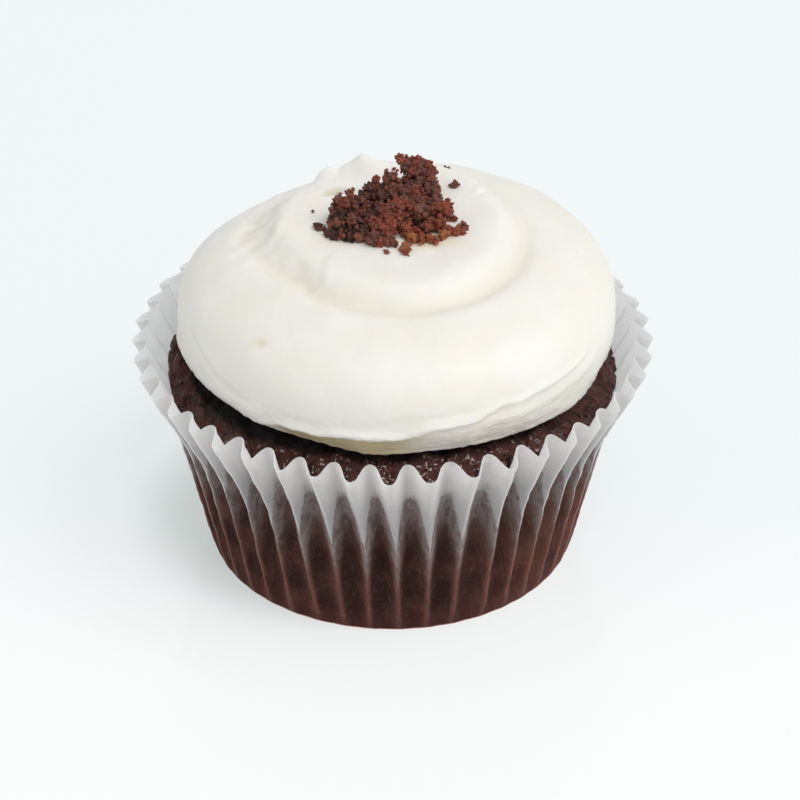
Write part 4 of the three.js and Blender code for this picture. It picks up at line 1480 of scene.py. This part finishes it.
def granule_shape() -> bpy.types.Mesh:
    """Model one small granule of a few faces.

    Returns:
        Its mesh.
    """
    select_only(None)
    bpy.ops.mesh.primitive_ico_sphere_add(subdivisions=1, radius=1.0)
    piece = bpy.context.object
    piece.name = "granule_shape"
    bpy.ops.object.mode_set(mode="EDIT")
    bpy.ops.mesh.select_all(action="SELECT")
    bpy.ops.transform.vertex_random(offset=0.35, seed=4)
    bpy.ops.object.mode_set(mode="OBJECT")
    mesh = piece.data.copy()
    bpy.data.objects.remove(piece)
    return mesh


@dataclass
class LooseCrumbs:
    """The crumbs that fell beside the heap."""

    heap: CrumbHeap
    seats: tuple[tuple[float, float, float, float], ...] = (
        (-9.9, 1.4, 0.32, 0.75), (-9.2, 1.2, 0.22, 0.50), (8.5, -0.4, 0.40, 0.95), (9.6, 0.4, 0.51, 0.75),
        (8.2, 3.0, 0.25, 0.55), (7.5, 3.2, 0.22, 0.50), (-10.6, 5.9, 0.12, 0.25), (8.4, 10.6, 0.26, 0.60),
        (7.4, 18.0, 0.35, 0.80), (8.3, 18.1, 0.3, 0.35), (0.2, 14.9, 0.15, 0.3),
    )
    seed: int = 29

    def build(self) -> bpy.types.Object:
        """Model the loose crumbs and return the finished piece."""
        draw = np.random.default_rng(self.seed)
        shapes = self.heap.shapes
        copies = [self.heap.copy(draw, CrumbSeat(*seat), shapes[draw.integers(len(shapes))])
                  for seat in self.seats]
        piece = copied_together("loose_crumbs", copies)
        return finish_piece(piece, self.heap.material)


def finish_piece(piece: bpy.types.Object, material: bpy.types.Material,
                 node: str | None = None) -> bpy.types.Object:
    """Bring a piece to metres, dress it, hang it on the whole cupcake's body and hide the CAD node that it
    stands for.

    Args:
        piece: The piece in millimetres.
        material: Its material.
        node: The CAD node that it stands for.

    Returns:
        The same piece.
    """
    to_metres(piece)
    dress(piece, material)
    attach(piece, Body.WHOLE.value)
    if node:
        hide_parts(node)
    return piece


# The studio


@dataclass(frozen=True)
class SoftLight:
    """A large square light that looks at the cupcake."""

    name: str
    place: tuple[float, float, float]
    size: float
    power: float
    colour: Colour = (1.0, 1.0, 1.0)

    def build(self, target: Vector) -> None:
        """Hang the light."""
        data = bpy.data.lights.new(self.name, "AREA")
        data.shape, data.size, data.energy, data.color = "SQUARE", self.size, self.power, self.colour
        lamp = bpy.data.objects.new(self.name, data)
        bpy.context.scene.collection.objects.link(lamp)
        lamp.location = self.place
        lamp.rotation_euler = (target - lamp.location).to_track_quat("-Z", "Y").to_euler()


@dataclass
class Studio:
    """The pale floor, the soft light and the camera at the photograph's viewing angle."""

    lens: float = 194.1
    distance: float = 0.58675
    elevation: float = 33.557
    target: tuple[float, float, float] = (0.001046, 0.0, 0.020442)
    floor_size: float = 8.0
    floor_drop: float = 0.00005
    sky: Colour = (0.985, 0.99, 1.0)
    sky_strength: float = 0.57
    lights: tuple[SoftLight, ...] = (
        SoftLight("key_light", (0.62, -0.35, 1.1), 0.8, 7.2, (1.0, 0.99, 0.97)),
        SoftLight("glint_light", (0.06, -0.5, 0.85), 0.1, 0.6),
    )

    def build(self) -> None:
        """Set up the floor, the lights, the sky and the camera."""
        select_only(None)
        bpy.ops.mesh.primitive_plane_add(size=self.floor_size, location=(0.0, 0.0, -self.floor_drop))
        floor = bpy.context.object
        floor.name = "studio_floor"
        bpy.ops.object.transform_apply(location=True, rotation=True, scale=True)
        dress(floor, FloorFinish().make())
        target = Vector(self.target)
        for light in self.lights:
            light.build(target)
        self.light_sky()
        self.place_camera(target)

    def light_sky(self) -> None:
        """Fill the surroundings with even pale light."""
        world = bpy.data.worlds.new("pale_sky")
        world.use_nodes = True
        background = world.node_tree.nodes["Background"]
        background.inputs["Color"].default_value = (*self.sky, 1.0)
        background.inputs["Strength"].default_value = self.sky_strength
        bpy.context.scene.world = world
        bpy.context.scene.view_settings.view_transform = "Standard"

    def place_camera(self, target: Vector) -> None:
        """Place the camera at the photograph's viewing angle."""
        data = bpy.data.cameras.new("front_camera")
        data.lens = self.lens
        camera = bpy.data.objects.new("front_camera", data)
        bpy.context.scene.collection.objects.link(camera)
        up = np.radians(self.elevation)
        camera.location = target + Vector((0.0, -np.cos(up), np.sin(up))) * self.distance
        camera.rotation_euler = (np.pi / 2.0 - up, 0.0, 0.0)
        bpy.context.scene.camera = camera


def report(piece: bpy.types.Object) -> None:
    """Say what a piece measures."""
    triangles = sum(len(face.vertices) - 2 for face in piece.data.polygons)
    low = np.min([corner[:] for corner in piece.bound_box], axis=0) / MM
    high = np.max([corner[:] for corner in piece.bound_box], axis=0) / MM
    LOG.info("%s: %d triangles, from %s to %s mm", piece.name, triangles, np.round(low, 1), np.round(high, 1))


def main() -> None:
    """Build the cupcake and its studio, and log each piece's size."""
    Studio().build()
    paper = PaperCase()
    report(paper.build())
    report(Cake(paper).build())
    frosting = Frosting()
    report(frosting.build())
    heap = CrumbHeap(frosting, CrumbShapes().build(), CrumbFinish().make())
    report(heap.build())
    report(LooseCrumbs(heap).build())


if __name__ == "__main__":
    logging.basicConfig(level=logging.INFO, format="%(message)s")
    main()
